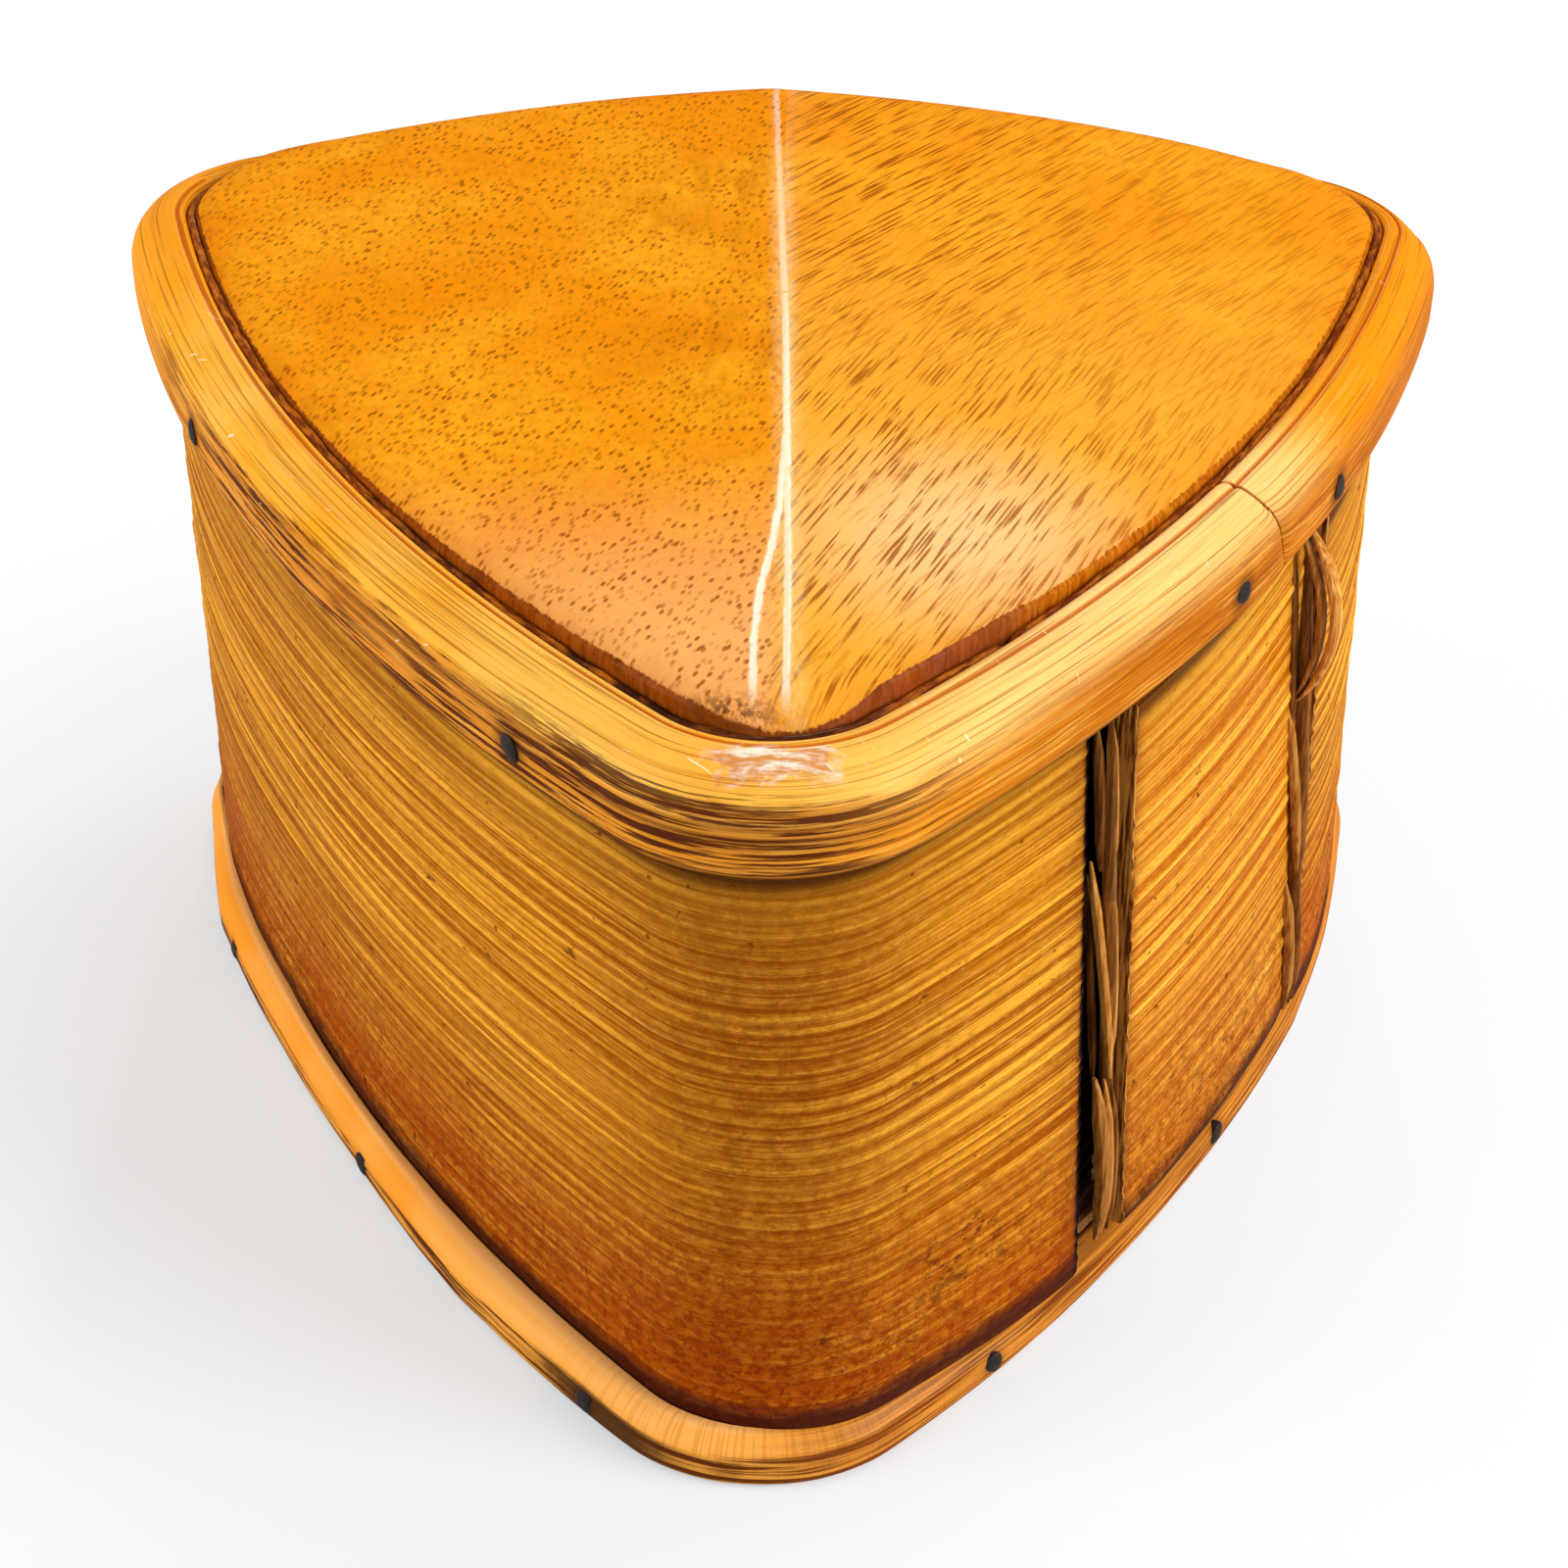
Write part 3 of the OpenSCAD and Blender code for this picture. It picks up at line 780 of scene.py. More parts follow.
def makeNail():
    clearSelection()
    bpy.ops.mesh.primitive_cylinder_add(vertices=22, radius=nail["head"] * mm, depth=nail["headHigh"] * mm)
    piece = bpy.context.object
    bpy.ops.object.mode_set(mode="EDIT")
    bpy.ops.mesh.select_mode(type="FACE")
    bpy.ops.mesh.select_all(action="DESELECT")
    bpy.ops.object.mode_set(mode="OBJECT")
    for face in piece.data.polygons:
        face.select = face.normal.z > 0.9
    bpy.ops.object.mode_set(mode="EDIT")
    for inset, lift in ((0.12, 0.10), (0.18, 0.09), (0.22, 0.05)):
        bpy.ops.mesh.inset(thickness=inset * mm, depth=lift * mm)
    bpy.ops.mesh.select_all(action="DESELECT")
    bpy.ops.object.mode_set(mode="OBJECT")
    for face in piece.data.polygons:
        face.select = face.normal.z < -0.9
    bpy.ops.object.mode_set(mode="EDIT")
    bpy.ops.mesh.inset(thickness=(nail["head"] - nail["shank"]) * mm, depth=0)
    for length in (nail["length"] - nail["point"], nail["point"]):
        bpy.ops.mesh.extrude_region_move(TRANSFORM_OT_translate={"value": (0, 0, -length * mm)})
    bpy.ops.mesh.merge(type="CENTER")
    bpy.ops.object.mode_set(mode="OBJECT")
    return piece


def joined(parts, name):
    clearSelection()
    for part in parts:
        part.select_set(True)
    bpy.context.view_layer.objects.active = parts[0]
    bpy.ops.object.join()
    whole = bpy.context.object
    whole.name = name
    return whole


def setNails(name, places, reach, high, drawn):
    rng = np.random.RandomState(nail["seed"] + len(places))
    master = makeNail()
    shape = readPoints(master)
    copies = []
    for i, share in places:
        choose(master)
        bpy.ops.object.duplicate()
        copy = bpy.context.object
        facing = 120 * i - 30 + sideDegrees(share * halfSide)
        place = (0.0, outlineLength / 3, -outlineLength / 3)[i] + share * halfSide
        inward = float(drawn(place))
        out = aim(facing)
        base = sideCentre(i) + (plan["sideRadius"] + reach - inward) * out
        lump = shape.copy()
        ring = np.arctan2(shape[:, 1], shape[:, 0])
        uneven = 1 + 0.12 * np.sin(2 * ring + rng.uniform(0, 6))
        uneven += 0.07 * np.sin(3 * ring + rng.uniform(0, 6))
        isHead = shape[:, 2] > -0.5
        lump[:, :2] *= np.where(isHead, uneven, 1)[:, None]
        tip = rng.uniform(-0.12, 0.12)
        lump[:, 2] += np.where(isHead, tip * shape[:, 0], 0)
        world = np.empty_like(lump)
        world[:, 0] = base[0] + lump[:, 2] * out[0] - lump[:, 0] * out[1]
        world[:, 1] = base[1] + lump[:, 2] * out[1] + lump[:, 0] * out[0]
        world[:, 2] = high - 0.3 * inward + lump[:, 1]
        writePoints(copy, world)
        copies.append(copy)
    whole = joined(copies, name)
    bpy.data.objects.remove(master)
    closeUp(whole, False)
    return whole


lidRimNails = setNails("lidRimNails", rimNails, rim["out"] - nail["rimSunk"], nail["rimHigh"], rimIn)
hand(lidRimNails, "lid", "lid_rim_nails")
baseReach = moulding["out"] - nail["baseSunk"]
baseNailSet = setNails("baseNails", baseNails, baseReach, nail["baseHigh"], mouldingIn)
hand(baseNailSet, "box", "base_nails")


# lacing: long flat strands sewn through the laps, seen in the slit before each free edge
def strand(along, out, bow, high, wide, thick):
    # rows of points round a flat strand that bows out between its ends
    count, sides = 28, 10
    turn = np.linspace(0, 2 * math.pi, sides + 1)
    flatAlong = np.sign(np.cos(turn)) * np.abs(np.cos(turn)) ** 0.6
    flatOut = np.sign(np.sin(turn)) * np.abs(np.sin(turn)) ** 0.8
    rows = np.zeros((count, sides + 1, 3))
    for k, t in enumerate(np.linspace(0, 1, count)):
        bowed = bow * math.sin(math.pi * t) ** 0.8
        slim = 0.3 + 0.7 * min(1.0, 5 * t, 5 * (1 - t))
        rows[k, :, 0] = np.interp(t, (0, 1), along) + flatAlong * wide / 2 * slim
        rows[k, :, 1] = np.interp(t, (0, 1), out) + bowed + flatOut * thick / 2 * slim
        rows[k, :, 2] = np.interp(t, (0, 1), high)
    return rows


def lace(name, edgeAt, edgeLean, stitches):
    parts = []
    for *stitch, paintedLight in stitches:
        rows = strand(*stitch)
        count, sides = rows.shape[:2]
        clearSelection()
        bpy.ops.mesh.primitive_grid_add(x_subdivisions=sides - 1, y_subdivisions=count - 1, size=mm)
        part = bpy.context.object
        low = footShare(rows[:, :, 2])
        facing = np.radians(-30) + (edgeAt + edgeLean * low + rows[:, :, 0]) / plan["sideRadius"]
        reach = plan["sideRadius"] + footLean["sheetFoot"] * low + rows[:, :, 1]
        world = rows.copy()
        world[:, :, 0] = sideCentre(0)[0] + reach * np.cos(facing)
        world[:, :, 1] = sideCentre(0)[1] + reach * np.sin(facing)
        writePoints(part, world)
        # paler along one edge of each strand, a painted highlight
        edge = smoothStep(np.cos(np.linspace(0, 2 * math.pi, sides)), 0.0, 0.8)
        keepFloats(part, "paintedLight", np.tile(paintedLight * (0.5 + 0.7 * edge), (count, 1)))
        closeUp(part, True)
        parts.append(part)
    return joined(parts, name)


# each stitch: along from the free edge and out from the sheet below, both at its top and bottom,
# how far it bows, its top and bottom, width, thickness, and how much painted light it gets
frontStitches = [
    ((-0.4, -0.4), (0.6, -0.6), 0.1, (53.6, 5.0), 0.7, 1.1, 0.42),
    ((-0.9, -0.8), (-0.3, -0.2), 0.1, (53.2, 40.4), 0.6, 0.8, 0.3),
    ((-0.3, -0.35), (0.5, 0.4), 0.2, (53.6, 40.0), 0.6, 0.9, 0.85),
    ((-1.7, -0.6), (-0.4, 0.4), 0.2, (41.6, 21.2), 0.8, 0.7, 1.15),
    ((-0.45, -0.4), (0.3, 0.0), 0.35, (40.8, 21.6), 0.7, 1.0, 0.8),
    ((-1.3, -1.2), (-1.0, -0.8), 0.1, (40.0, 20.0), 0.6, 0.6, 0.1),
    ((-2.0, -1.1), (-0.1, -0.8), 0.7, (21.8, 4.4), 1.2, 1.1, 0.75),
    ((-1.0, -0.7), (0.1, -0.6), 0.7, (21.2, 4.8), 0.7, 0.6, 1.2),
    ((-0.4, -0.3), (0.3, -0.3), 0.45, (20.6, 5.2), 0.5, 0.8, 0.35),
]
rearStitches = [
    ((-0.45, -0.45), (0.9, 0.1), 0.1, (53.6, 5.0), 0.7, 1.1, 0.42),
    ((-0.5, -0.9), (0.9, 0.3), 2.7, (53.9, 37.6), 1.7, 0.8, 1.6),
    ((-0.9, -1.0), (0.4, 0.1), 2.0, (53.6, 38.0), 1.3, 0.6, 1.0),
    ((-1.5, -1.2), (-0.2, -0.1), 0.2, (53.4, 33.0), 1.0, 0.8, 0.2),
    ((-1.7, -0.6), (-0.3, 0.6), 0.3, (38.4, 19.6), 1.0, 0.8, 1.1),
    ((-0.5, -0.5), (0.6, 0.4), 0.4, (38.0, 18.0), 0.7, 1.0, 0.45),
    ((-1.6, -1.0), (-0.1, -0.2), 0.5, (19.4, 4.6), 1.0, 0.9, 1.0),
    ((-0.5, -0.4), (0.4, 0.1), 0.4, (18.6, 5.2), 0.6, 0.9, 0.4),
]
panelEdge = lap["frontAt"] + lap["panelShift"]
frontLacing = lace("frontLacing", panelEdge, lap["panelLean"], frontStitches)
hand(frontLacing, "box", "front_lacing")
rearLacing = lace("rearLacing", plan["rearLap"], lap["rearLean"], rearStitches)
hand(rearLacing, "box", "rear_lacing")


# finishes
def bruises(spot, places, reach, high, radius, soft):
    # dark dents round the nail heads
    marks = None
    for i, share in places:
        facing = 120 * i - 30 + sideDegrees(share * halfSide)
        x, y = sideCentre(i) + (plan["sideRadius"] + reach) * aim(facing)
        dent = spot.blot((x, y, high), radius, soft)
        marks = dent if marks is None else marks.most(dent)
    return marks


def longPores(spot, turn):
    # two sets of long thin cells laid along the grain
    grain = spot.placed(turn=(0, 0, turn))
    first = grain.placed((0.095, 1.75, 1)).cells().band(0.25, 0.14)
    second = grain.placed((0.075, 2.1, 1), shift=(5.3, 2.7, 0)).cells().band(0.22, 0.13)
    return first.most(second)


def lidFinish():
    finish = Finish("lidWood")
    spot = finish.spot
    x, y, _ = spot.axes()
    right = x.band(-0.6, 0.9)
    plain = spot.noise(0.06, 3).band(0.32, 0.68).mixed("f79200", "ffaa18")
    mottle = spot.noise(0.8, 4, 0.7).band(0.42, 0.62)
    plain = plain.tinted(mottle * 0.3, "e07c00")
    grit = spot.noise(3.6, 3, 0.7).band(0.46, 0.62)
    plain = plain.tinted(grit * 0.22, "cc7000")
    clouds = spot.placed((0.05, 0.11, 1), (0, 0, 12)).noise(1.0, 4).band(0.48, 0.72)
    plain = plain.tinted(clouds * 0.4, "e88400")
    # painted sheen: the right facet paler towards the front, the left facet paler at the front, and a pale
    # spot on the right facet
    rightPlain = plain.tinted(y.band(36.0, -20.0) * 0.6 + 0.1, "ffb53c")
    paintedFrontSheen = y.band(-12.0, -42.0)
    leftPlain = plain.tinted(paintedFrontSheen * 0.55, "fdbc80")
    sheen = spot.blot((13.0, -25.0, 65.0), 9.0, 9.0)
    rightPlain = rightPlain.tinted(sheen * 0.6, "ffdca4")
    leftGrain = spot.placed(turn=(0, 0, -68))  # left facet: short pores
    dots = leftGrain.placed((0.62, 1.3, 1)).cells().band(0.26, 0.11)
    speckle = dots * spot.noise(0.34, 4).band(0.36, 0.6)
    flecks = leftGrain.placed((0.7, 1.7, 1), shift=(3.7, 1.9, 0)).cells().band(0.26, 0.12)
    flecks = flecks * spot.noise(0.35, 2).band(0.42, 0.58)
    leftTone = leftPlain.tinted(speckle * 0.85, "944600")
    leftTone = leftTone.tinted(flecks * 0.6, "a85400")
    cloud = spot.blot((-4.0, 27.0, 67.0), 9.0, 9.0).most(spot.blot((-3.0, 1.0, 66.0), 7.0, 7.0))
    cloudy = cloud * spot.placed((0.6, 0.16, 1), (0, 0, 8)).noise(1.0, 4, 0.65).band(0.38, 0.66)
    leftTone = leftTone.tinted(cloudy * 0.55, "c87000")
    forward = y.band(24.0, -14.0)  # right facet: long pores that fan out towards the front
    streaks = longPores(spot, -67) * forward + longPores(spot, -53) * (1 - forward)
    hairs = spot.placed(turn=(0, 0, -60)).placed((0.22, 4.2, 1)).noise(1.0, 2, 0.5, 0.2).band(0.56, 0.64)
    strong = (x.band(36.0, 10.0) * 0.45 + 0.4) * (spot.noise(0.3, 3).band(0.36, 0.54) * 0.7 + 0.3)
    rightTone = rightPlain.tinted(streaks * strong, "964600")
    rightTone = rightTone.tinted(hairs * 0.35, "bc6600")
    colour = right.mixed(leftTone, rightTone)
    crest = finish.kept("crest")  # painted highlight along the ridge's creases
    broken = spot.drawn((1.8, 0.7, 1), 5, 0.75)
    along = y.band(30.0, -16.0) * 0.62 + 0.38
    wearAndHighlight = (crest - broken * 1.05).band(0.0, 0.4) * along * y.band(-46.0, -43.6)
    colour = colour.tinted(wearAndHighlight * 0.92, "fff0d2")
    # painted highlight along the back of the ridge
    glow = (x + y * 0.02 - 0.45).size().band(1.5, 0.1) * y.band(40.0, 26.0) * broken.band(0.3, 0.7)
    colour = colour.tinted(glow * 0.5, "ffdc98")
    hatch = spot.drawn((2.4, 2.4, 0.4), 4, 0.7)  # rough cut edge above the groove
    cut = hatch.band(0.36, 0.66)
    leftCut, rightCut = cut.mixed("3a1606", "8a4c1a"), cut.mixed("8a4404", "cf8420")
    frontCut = cut.mixed("451c12", "7c4636")
    edge = x.band(0.0, 6.0).mixed(leftCut, x.band(14.0, 19.0).mixed(frontCut, rightCut))
    ragged = (finish.kept("rim") * 1.5 - hatch * 1.1).band(0.05, 0.3)
    colour = ragged.mixed(colour, edge)
    warm = spot.noise(0.3, 2) * finish.kept("nearRim")
    colour = colour.tinted(warm * 0.75, "c05a00")
    colour = colour.tinted(spot.blot((26.0, -9.4, 65.3), 0.5, 0.25), "fff0d0")  # a chip and a speck
    colour = colour.tinted(spot.blot((24.0, 4.6, 65.6), 0.32, 0.2), "4a2206")
    crust = spot.placed((0.4, 1, 1)).blot((-1.1, -46.4, 64.2), 1.5, 0.9) * hatch.band(0.42, 0.58)
    colour = colour.tinted(crust * 0.8, "54220c")
    finish.set(
        colour=colour, rough=0.4 + spot.noise(0.5, 2) * 0.14, gloss=0.0,
        coat=0.04 + crest * y.band(30.0, -12.0) * 0.12, coatRough=0.1,
    )
    ripple = spot.placed((0.3, 1.6, 1), (0, 0, 5)).noise(1.0, 3) * 0.35
    height = spot.noise(0.9, 3) * 0.35 + ripple - right * streaks * 0.5 - (1 - right) * speckle * 0.5
    finish.bump(height, 0.3, 0.1)
    return finish


def rimFinish():
    finish = Finish("rimCane")
    spot = finish.spot
    grain = finish.kept("grain", "Vector")
    crease, groove = finish.kept("crease"), finish.kept("groove")
    x, y, z = spot.axes()
    # painted light: the top is painted lit and the side painted in shade, the top palest at the front right
    # and deeper orange to the right and towards the back
    upper = (z - x.band(4.0, 22.0) * 1.9).band(57.2, 61.2)
    paintedLight = grain.noise(0.05, 2).band(0.35, 0.65).mixed("ffa81c", "ffc050")
    paintedLight = paintedLight.tinted(x.band(0.0, 20.0) * y.band(-2.0, -12.0) * 0.7, "ffd88c")
    paintedLight = paintedLight.tinted(x.band(26.0, 44.0) * y.band(-16.0, 6.0) * 0.7, "dc7c00")
    far = y.band(4.0, 30.0).most(x.band(10.0, 24.0) * y.band(-8.0, 2.0))
    paintedLight = paintedLight.tinted(far * 0.8, "f59400")
    paintedSideShade = x.band(4.0, 24.0).mixed("ec9412", "b96404")
    body = upper.mixed(paintedSideShade, paintedLight)
    lines = grain.drawn((0.028, 0.028, 2.6), 4, 0.6)
    body = body.tinted(lines.band(0.5, 0.68) * 0.5, "d87e08")
    threads = grain.drawn((0.05, 0.05, 6.0), 2, 0.5).band(0.57, 0.64)
    body = body.tinted(threads * 0.6, "964c04")
    near = y.band(30.0, -14.0)
    bark = grain.drawn((0.11, 0.11, 3.0), 4, 0.6)  # peeling skin low on the cane
    patchy = grain.drawn((0.05, 0.05, 0.25), 3).band(0.30, 0.5)
    ragged = grain.drawn((0.07, 0.07, 0.6), 5, 0.68) * 3.0
    peeled = (z - ragged).band(59.6, 59.1) * near * (x.band(16.0, 2.0) * 0.75 + 0.25)
    fibrous = bark.band(0.42, 0.56).mixed("dc8a2c", "8c400c")
    body = (peeled * 0.75).mixed(body, fibrous)
    dark = bark.band(0.52, 0.55) * patchy * peeled
    heavy = spot.blot((-8.0, -47.0, 57.0), 11.0, 8.0) * bark.band(0.49, 0.52)
    heavy = heavy * (z - ragged).band(60.2, 59.7)
    dark = dark.most(heavy * 0.95).most(groove * 0.8 * peeled)
    slivers = grain.placed((0.08, 0.08, 2.6), shift=(7, 0, 3)).noise(1.0, 4, 0.6).band(0.55, 0.6)
    body = body.tinted(slivers * near * 0.4, "f6b650")
    body = body.tinted(dark * 0.9, "46180a")
    dents = bruises(spot, rimNails, rim["out"], nail["rimHigh"], 1.3, 1.1)
    body = body.tinted(dents * 0.85, "351608")
    # painted shade in the crease along the top
    body = body.tinted(crease.band(0.2, 0.75) * 0.85, "c86000")
    # painted shade along the rim's foot, where it sits over the wall
    paintedUnderShade = (z + bark * 1.6).band(56.9, 56.0)
    body = body.tinted(paintedUnderShade * 0.92, "2a1008")
    edge = spot.noise(0.7, 3, 0.6) - 0.5  # dried lacquer at the front, with its highlights painted in as white flecks
    poolX, poolY = (x - 0.3 + edge * 6.0).size(), (y + 49.8 + edge * 2.4).size()
    pool = poolX.band(4.4, 2.4) * poolY.band(1.5, 0.8)
    sparkle = spot.placed((0.45, 1.6, 1), (0, 0, 14)).noise(1.0, 4, 0.65).band(0.4, 0.62)
    lacquerAndPaintedGlints = sparkle.mixed("d2823e", "fff0dc")
    body = (pool * 0.85).mixed(body, lacquerAndPaintedGlints)
    scratch = spot.placed(turn=(0, 0, 38)).drawn((0.22, 3.6, 1), 1.5).band(0.735, 0.76) * upper
    body = body.tinted(scratch * 0.8, "fff0cc")
    finish.set(colour=body, rough=0.42 + lines * 0.2, coat=0.07 + pool * 0.6, coatRough=0.16, gloss=0.0)
    finish.bump(lines * 0.5 - dark * 0.9 - threads * 0.3 + pool * sparkle, 0.5, 0.14)
    return finish


def wallFinish(name, fresh):
    finish = Finish(name)
    spot = finish.spot
    grain = finish.kept("grain", "Vector")
    rib, freeEdge, cut = finish.kept("rib"), finish.kept("freeEdge"), finish.kept("cut")
    x, y, z = spot.axes()
    fine = grain.drawn((0.03, 0.03, 5.4), 3, 0.6)
    broad = grain.drawn((0.02, 0.02, 1.3), 3, 0.55)
    # lighter on the rib crests and darker between them, painted highlight and shade, mixed with the grain's
    # own streaks
    ridge = (rib * 0.58 + fine.band(0.42, 0.58) * 0.44 + broad.band(0.40, 0.60) * 0.36 - 0.18).held()
    lightTone, darkTone = ("ffba40", "aa5200") if fresh else ("ffb434", "8c4200")
    body = ridge.mixed(darkTone, lightTone)
    large = grain.drawn((0.03, 0.03, 0.05), 3).band(0.35, 0.68)
    body = body.tinted(large * 0.3, "d07c00")
    dashes = grain.drawn((0.9, 0.9, 3.4), 4, 0.7)
    body = body.tinted(dashes.band(0.52, 0.62) * 0.34, "8a4600")
    body = body.tinted(dashes.band(0.46, 0.36) * 0.2, "ffbc50")
    frontShade = x.size().band(17.0, 1.0) * y.band(-20.0, -40.0)
    body = body.tinted(frontShade * 0.5, "8a4400")
    low = z.band(29.0, 7.0)  # peeling and stains towards the foot
    peel = spot.placed((1, 1, 1.5)).noise(0.62, 6, 0.78).band(0.46, 0.56)
    body = body.tinted(peel * (frontShade * 0.55 + low * 0.6).held() * 0.75, "702800")
    stain = low * grain.drawn((0.06, 0.06, 0.12), 4).band(0.2, 0.55)
    body = body.tinted(stain * (0.35 if fresh else 0.68), "a43e00")
    mottle = spot.placed((1, 1, 1.3)).noise(1.3, 4, 0.72).band(0.51, 0.57)
    body = body.tinted(mottle * (low * 0.55 + frontShade * 0.25), "7a2800")
    body = body.tinted(z.band(44.0, 53.5) * 0.4, "9c6410")
    shade = (z + broad * 1.5).band(52.8, 54.2)
    body = body.tinted(shade * 0.8, "341604")
    body = body.tinted(freeEdge * 0.7, "6e2c04")
    # painted shade: the tail that turns in behind the front slit is painted near-black so that the slit
    # shows as deep shadow
    if not fresh:
        body = body.tinted(freeEdge.band(0.66, 0.9), "140804")
    # darkest in a band just above the moulding
    lowest = (z + grain.drawn((0.25, 0.25, 1.0), 4, 0.65) * 2.4).band(8.3, 6.4)
    body = body.tinted(lowest * 0.88, "34100f")
    pits = spot.placed((1.0, 1.0, 1.6)).noise(0.42, 4, 0.65)
    cluster = spot.blot((14.0, -41.0, 15.0), 5.0, 4.0) * pits.band(0.56, 0.59)
    body = body.tinted(pits.band(0.66, 0.70).most(cluster) * 0.75, "541e04")
    endGrain = spot.drawn((3.4, 3.4, 0.1), 4, 0.65).band(0.40, 0.6)
    body = cut.band(0.3, 0.7).mixed(body, endGrain.mixed("5c2c08", "c8853a"))
    finish.set(colour=body, rough=0.46 + fine * 0.15, coat=0.06, coatRough=0.2, gloss=0.0)
    finish.bump(fine * 0.7 + broad * 0.4 - peel * low * 0.3, 0.6, 0.12)
    return finish


def mouldingFinish():
    finish = Finish("mouldingCane")
    spot = finish.spot
    grain = finish.kept("grain", "Vector")
    x, y, z = spot.axes()
    nearFront = y.band(-22.0, -44.0)
    fibre = grain.drawn((0.06, 0.06, 2.8), 4, 0.66)
    smooth = (z - nearFront * 0.9 + fibre * 0.9).band(2.3, 2.6)
    body = grain.noise(0.06, 2).band(0.35, 0.65).mixed("fb9c2a", "ffb252")
    # painted highlight along the top edge
    body = body.tinted(z.band(4.2, 4.45) * 0.4, "ffc884")
    body = body.tinted(z.band(3.5, 2.6) * 0.4, "f48e10")
    ticks = grain.drawn((4.2, 4.2, 0.12), 2).band(0.5, 0.62)
    body = body.tinted(ticks * y.band(-40.0, -50.0) * 0.35, "c87018")
    lower = fibre.band(0.44, 0.55).mixed("602c06", "e89c3a")  # worn lower half
    burnt = spot.blot((-11.0, -46.0, 1.0), 6.5, 4.0) * fibre.band(0.42, 0.5)
    lower = lower.tinted(burnt * 0.9, "26110a")
    lower = lower.tinted(grain.noise(0.16, 3).band(0.5, 0.64) * 0.55, "4a2208")
    # painted shade along the very foot, by the floor
    lower = lower.tinted(z.band(0.7, 0.2) * 0.7, "3a1a08")
    body = smooth.mixed(lower, body)
    rightSide = (x * 0.866 - y * 0.5).band(22.0, 34.0)
    wearAndHighlight = fibre.band(0.4, 0.62).mixed("86400a", "d8862c")
    body = (rightSide * 0.8).mixed(body, wearAndHighlight)
    dents = bruises(spot, baseNails, moulding["out"], nail["baseHigh"], 1.0, 0.9)
    body = body.tinted(dents * 0.8, "301408")
    finish.set(colour=body, rough=0.36 + fibre * 0.2, coat=0.1, coatRough=0.14, gloss=0.0)
    finish.bump(fibre * (1 - smooth) * 0.9 - ticks * nearFront * 0.4, 0.5, 0.14)
    return finish


def stripFinish():
    finish = Finish("darkStrip")
    spot = finish.spot
    grain = finish.kept("grain", "Vector")
    x, y, _ = spot.axes()
    fibre = grain.drawn((0.5, 0.5, 2.5), 4, 0.65)
    body = fibre.band(0.4, 0.65).mixed("7a3004", "cc7414")
    dark = grain.noise(0.22, 3).band(0.42, 0.58) * y.band(4.0, -30.0) * x.band(10.0, -4.0)
    body = body.tinted(dark * 0.85, "2c100a")
    front = y.band(-42.0, -45.6)
    body = body.tinted(front * 0.75, "34140c")
    finish.set(colour=body, rough=0.42, coat=0.1, coatRough=0.12, gloss=0.0)
    finish.bump(fibre, 0.5, 0.12)
    return finish


def lacingFinish():
    finish = Finish("lacingStrip")
    spot = finish.spot
    paintedLight = finish.kept("paintedLight")
    fibre = spot.drawn((3.6, 3.6, 0.12), 4, 0.65)
    stained = spot.drawn((0.6, 0.6, 0.16), 3).band(0.4, 0.62)
    dull = fibre.band(0.36, 0.66).mixed("30140a", "7c4014")
    bright = fibre.band(0.36, 0.66).mixed("b86a18", "f2b058")
    bright = bright.tinted(stained * 0.35, "8c4a08")
    # each strand mixed from the dull to the bright tone by its painted light: painted shade deep in the
    # slit, painted highlight out in front
    body = paintedLight.mixed(dull, bright)
    finish.set(colour=body, rough=0.42, coat=0.1, coatRough=0.2, gloss=0.0)
    finish.bump(fibre, 0.35, 0.1)
    return finish


def plainFinish():
    finish = Finish("plainWood")
    spot = finish.spot
    grain = spot.drawn((0.9, 0.06, 0.9), 4, 0.6)
    body = grain.band(0.35, 0.68).mixed("8a5a2a", "c69254")
    finish.set(colour=body, rough=0.7, gloss=0.2)
    finish.bump(grain, 0.4, 0.15)
    return finish


def nailFinish():
    finish = Finish("nailIron")
    spot = finish.spot
    rust = spot.noise(1.6, 4)
    body = rust.band(0.45, 0.65).mixed("17130f", "3d2413")
    finish.set(colour=body, rough=0.55 + rust * 0.3, metal=0.35, gloss=0.3)
    finish.bump(rust, 0.6, 0.15)
    return finish


dress(lidPanel, lidFinish())
dress(lidRim, rimFinish())
dress(wallSheet, wallFinish("wallSheetWood", False))
dress(wallPanel, wallFinish("wallPanelWood", True))
dress(baseMoulding, mouldingFinish())
dress(edgeStrip, stripFinish())
laces = lacingFinish()
dress(frontLacing, laces)
dress(rearLacing, laces)
iron = nailFinish()
dress(lidRimNails, iron)
dress(baseNailSet, iron)
plain = plainFinish()
for node in ("base_board", "lid_lip"):
    dress(bpy.data.objects[node], plain)
print("finishes done")

# floor, light and camera
stage = {
    "floor": 6.0, "cloth": (0.84, 0.90, 0.945, 1), "near": 52.0, "far": 125.0,
    "lift": 0.43, "rightLift": 0.4, "world": 0.46,
}
lamps = {
    "keyLamp": {"place": (0.30, 0.25, 0.60), "target": (0, 0, 0.03), "size": 0.35, "power": 0.7},
    "leftLamp": {"place": (-0.60, -0.22, 0.30), "target": (0, 0, 0.03), "size": 0.40, "power": 2.7},
    "rightLamp": {"place": (0.60, -0.22, 0.30), "target": (0, 0, 0.03), "size": 0.40, "power": 4.0},
    "ridgeLamp": {
        "place": (0, 0.75, 0.45), "target": (0, 0, 0.06), "size": 0.06, "power": 1.0, "long": 0.45,
    },
}
view = {
    "azimuth": 0.53, "elevation": 34.74, "roll": 0.61, "place": (1.481, -204.693, 167.408),
    "lens": 69.1, "sensor": 36.0, "shift": (0.0094, 0.0096),
}


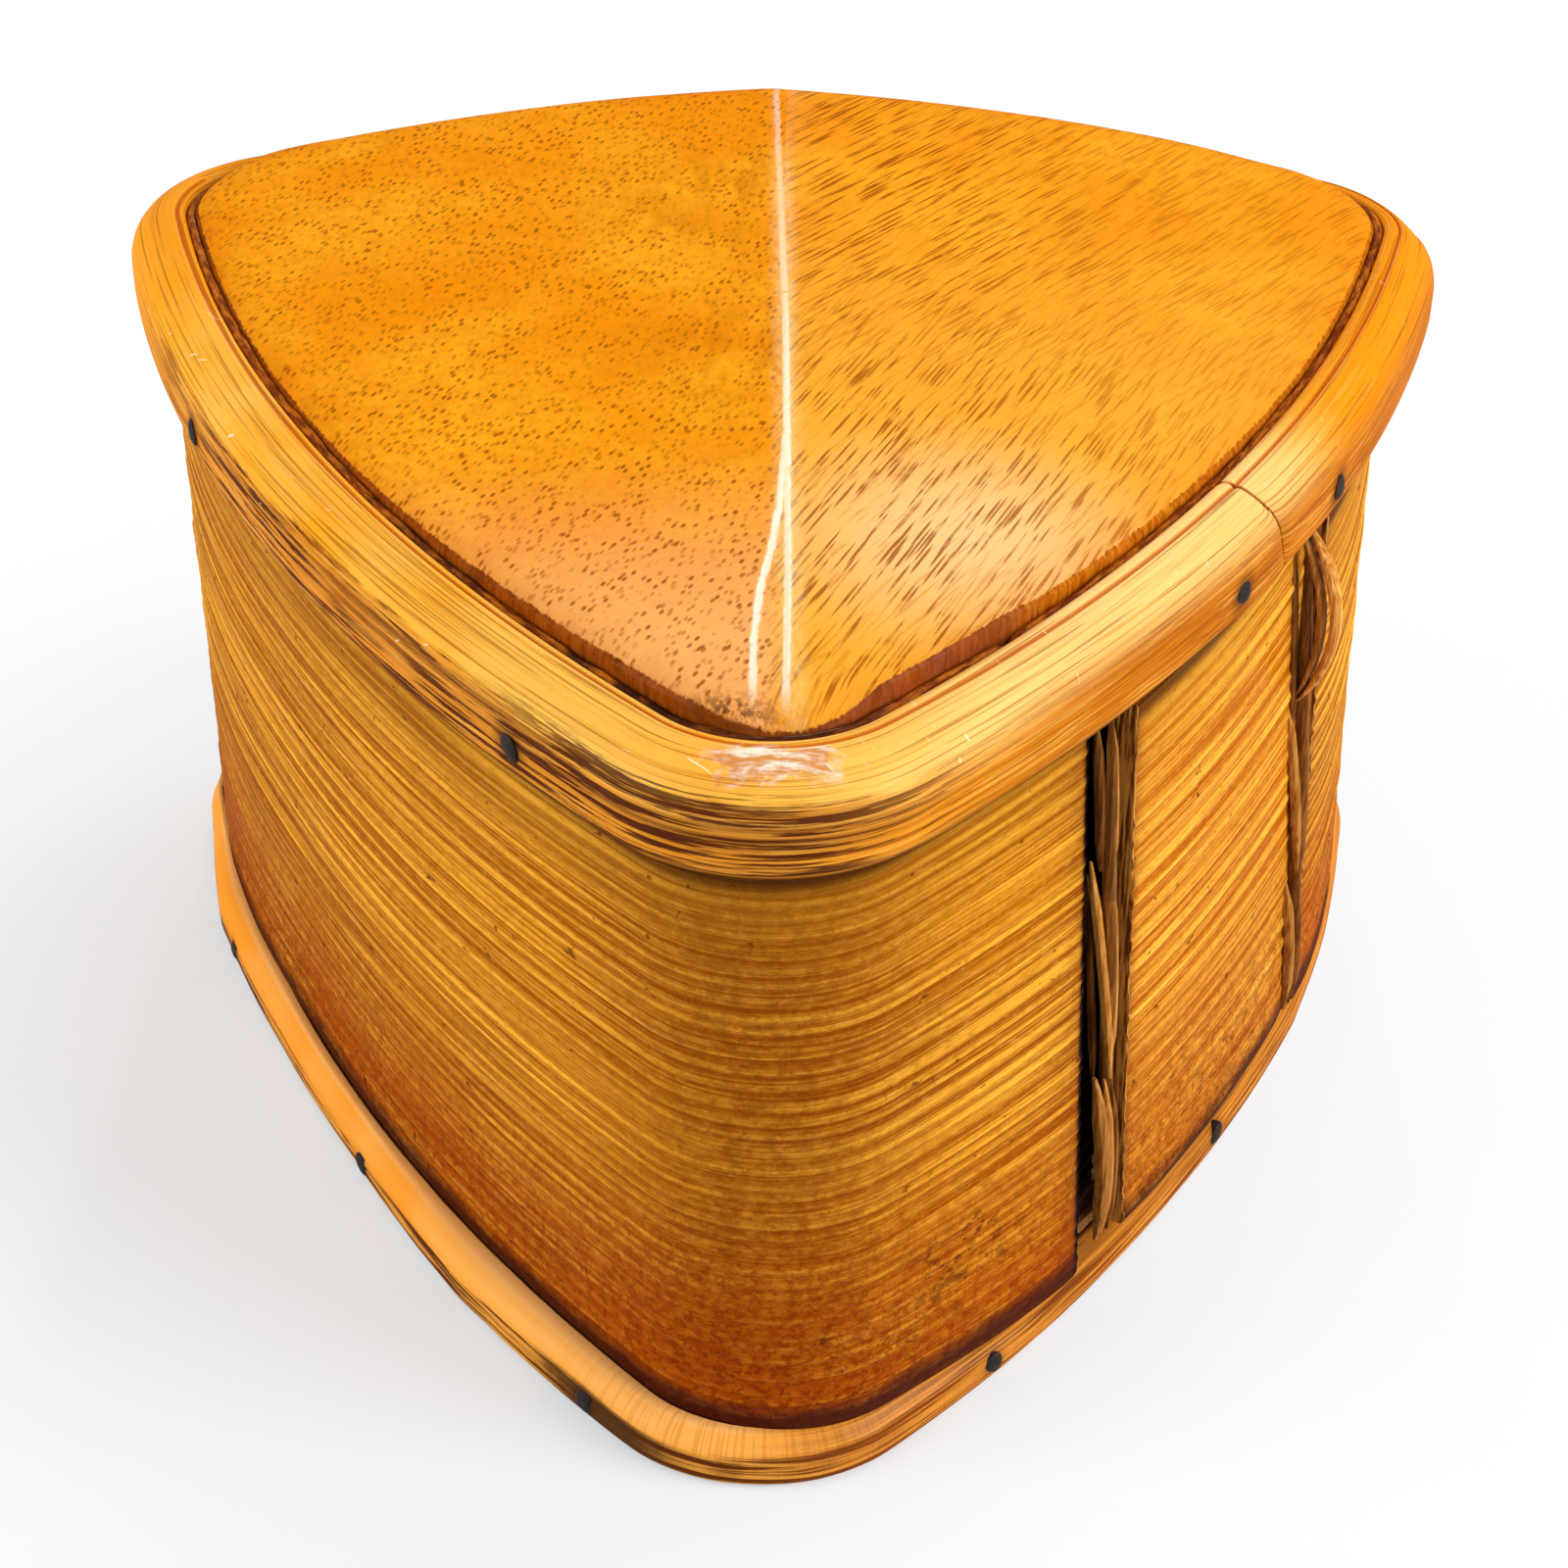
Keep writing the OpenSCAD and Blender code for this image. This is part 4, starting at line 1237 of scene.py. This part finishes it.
def seenRays(tree):
    # one where the camera looks, also in gloss or through glass, and nought for the light on the box
    ray = tree.nodes.new("ShaderNodeLightPath")
    seen = Wire(ray.outputs["Is Camera Ray"]).most(Wire(ray.outputs["Is Glossy Ray"]))
    return seen.most(Wire(ray.outputs["Is Transmission Ray"]))


clearSelection()
bpy.ops.mesh.primitive_plane_add(size=stage["floor"])
floor = bpy.context.object
floor.name = "floor"
cloth = Finish("floorCloth")
cloth.set(colour=stage["cloth"], rough=0.9, gloss=0.0)
tree = cloth.tree
glow = tree.nodes.new("ShaderNodeEmission")
glow.inputs["Color"].default_value = (1, 1, 1, 1)
apart = cloth.spot.add("ShaderNodeVectorMath", {"operation": "LENGTH"}, {0: cloth.spot}, 1)
# painted light: where it is seen, the floor glows more towards the right and away from the box, which fades
# its shadow there
lift = cloth.spot.axes()[0].band(-10.0, 70.0) * stage["rightLift"] + stage["lift"]
away = (apart.band(stage["near"], stage["far"]) * (1 - lift) + lift) * seenRays(tree)
blend = tree.nodes.new("ShaderNodeMixShader")
tree.links.new(away.socket, blend.inputs[0])
tree.links.new(cloth.shader.outputs[0], blend.inputs[1])
tree.links.new(glow.outputs[0], blend.inputs[2])
tree.links.new(blend.outputs[0], tree.nodes["Material Output"].inputs["Surface"])
dress(floor, cloth)

world = bpy.data.worlds.new("studio")
bpy.context.scene.world = world
world.use_nodes = True
sky = world.node_tree
sky.nodes["Background"].inputs["Color"].default_value = (1, 1, 1, 1)
strength = seenRays(sky) * (1 - stage["world"]) + stage["world"]
plug(sky, sky.nodes["Background"].inputs["Strength"], strength)


def lamp(name, place, target, size, power, long=None):
    data = bpy.data.lights.new(name, "AREA")
    data.energy = power
    data.size = size
    if long:
        data.shape = "RECTANGLE"
        data.size_y = long
    holder = bpy.data.objects.new(name, data)
    bpy.context.scene.collection.objects.link(holder)
    holder.location = Vector(place)
    holder.rotation_euler = (Vector(target) - Vector(place)).to_track_quat("-Z", "Y").to_euler()


for name, settings in lamps.items():
    lamp(name, **settings)

az, el, roll = (math.radians(view[k]) for k in ("azimuth", "elevation", "roll"))
back = Vector((math.sin(az) * math.cos(el), -math.cos(az) * math.cos(el), math.sin(el)))
across = (-back).cross(Vector((0, 0, 1))).normalized()
upward = across.cross(-back)
camX = math.cos(roll) * across + math.sin(roll) * upward
camY = -math.sin(roll) * across + math.cos(roll) * upward
cameraData = bpy.data.cameras.new("camera")
cameraData.sensor_width = view["sensor"]
cameraData.lens = view["lens"]
cameraData.shift_x, cameraData.shift_y = view["shift"]
cameraData.clip_start = 0.01
camera = bpy.data.objects.new("camera", cameraData)
bpy.context.scene.collection.objects.link(camera)
spin = Matrix((camX, camY, back)).transposed().to_4x4()
camera.matrix_world = Matrix.Translation(Vector(view["place"]) * mm) @ spin
scene = bpy.context.scene
scene.camera = camera
scene.view_settings.view_transform = "Standard"
print("stage done")
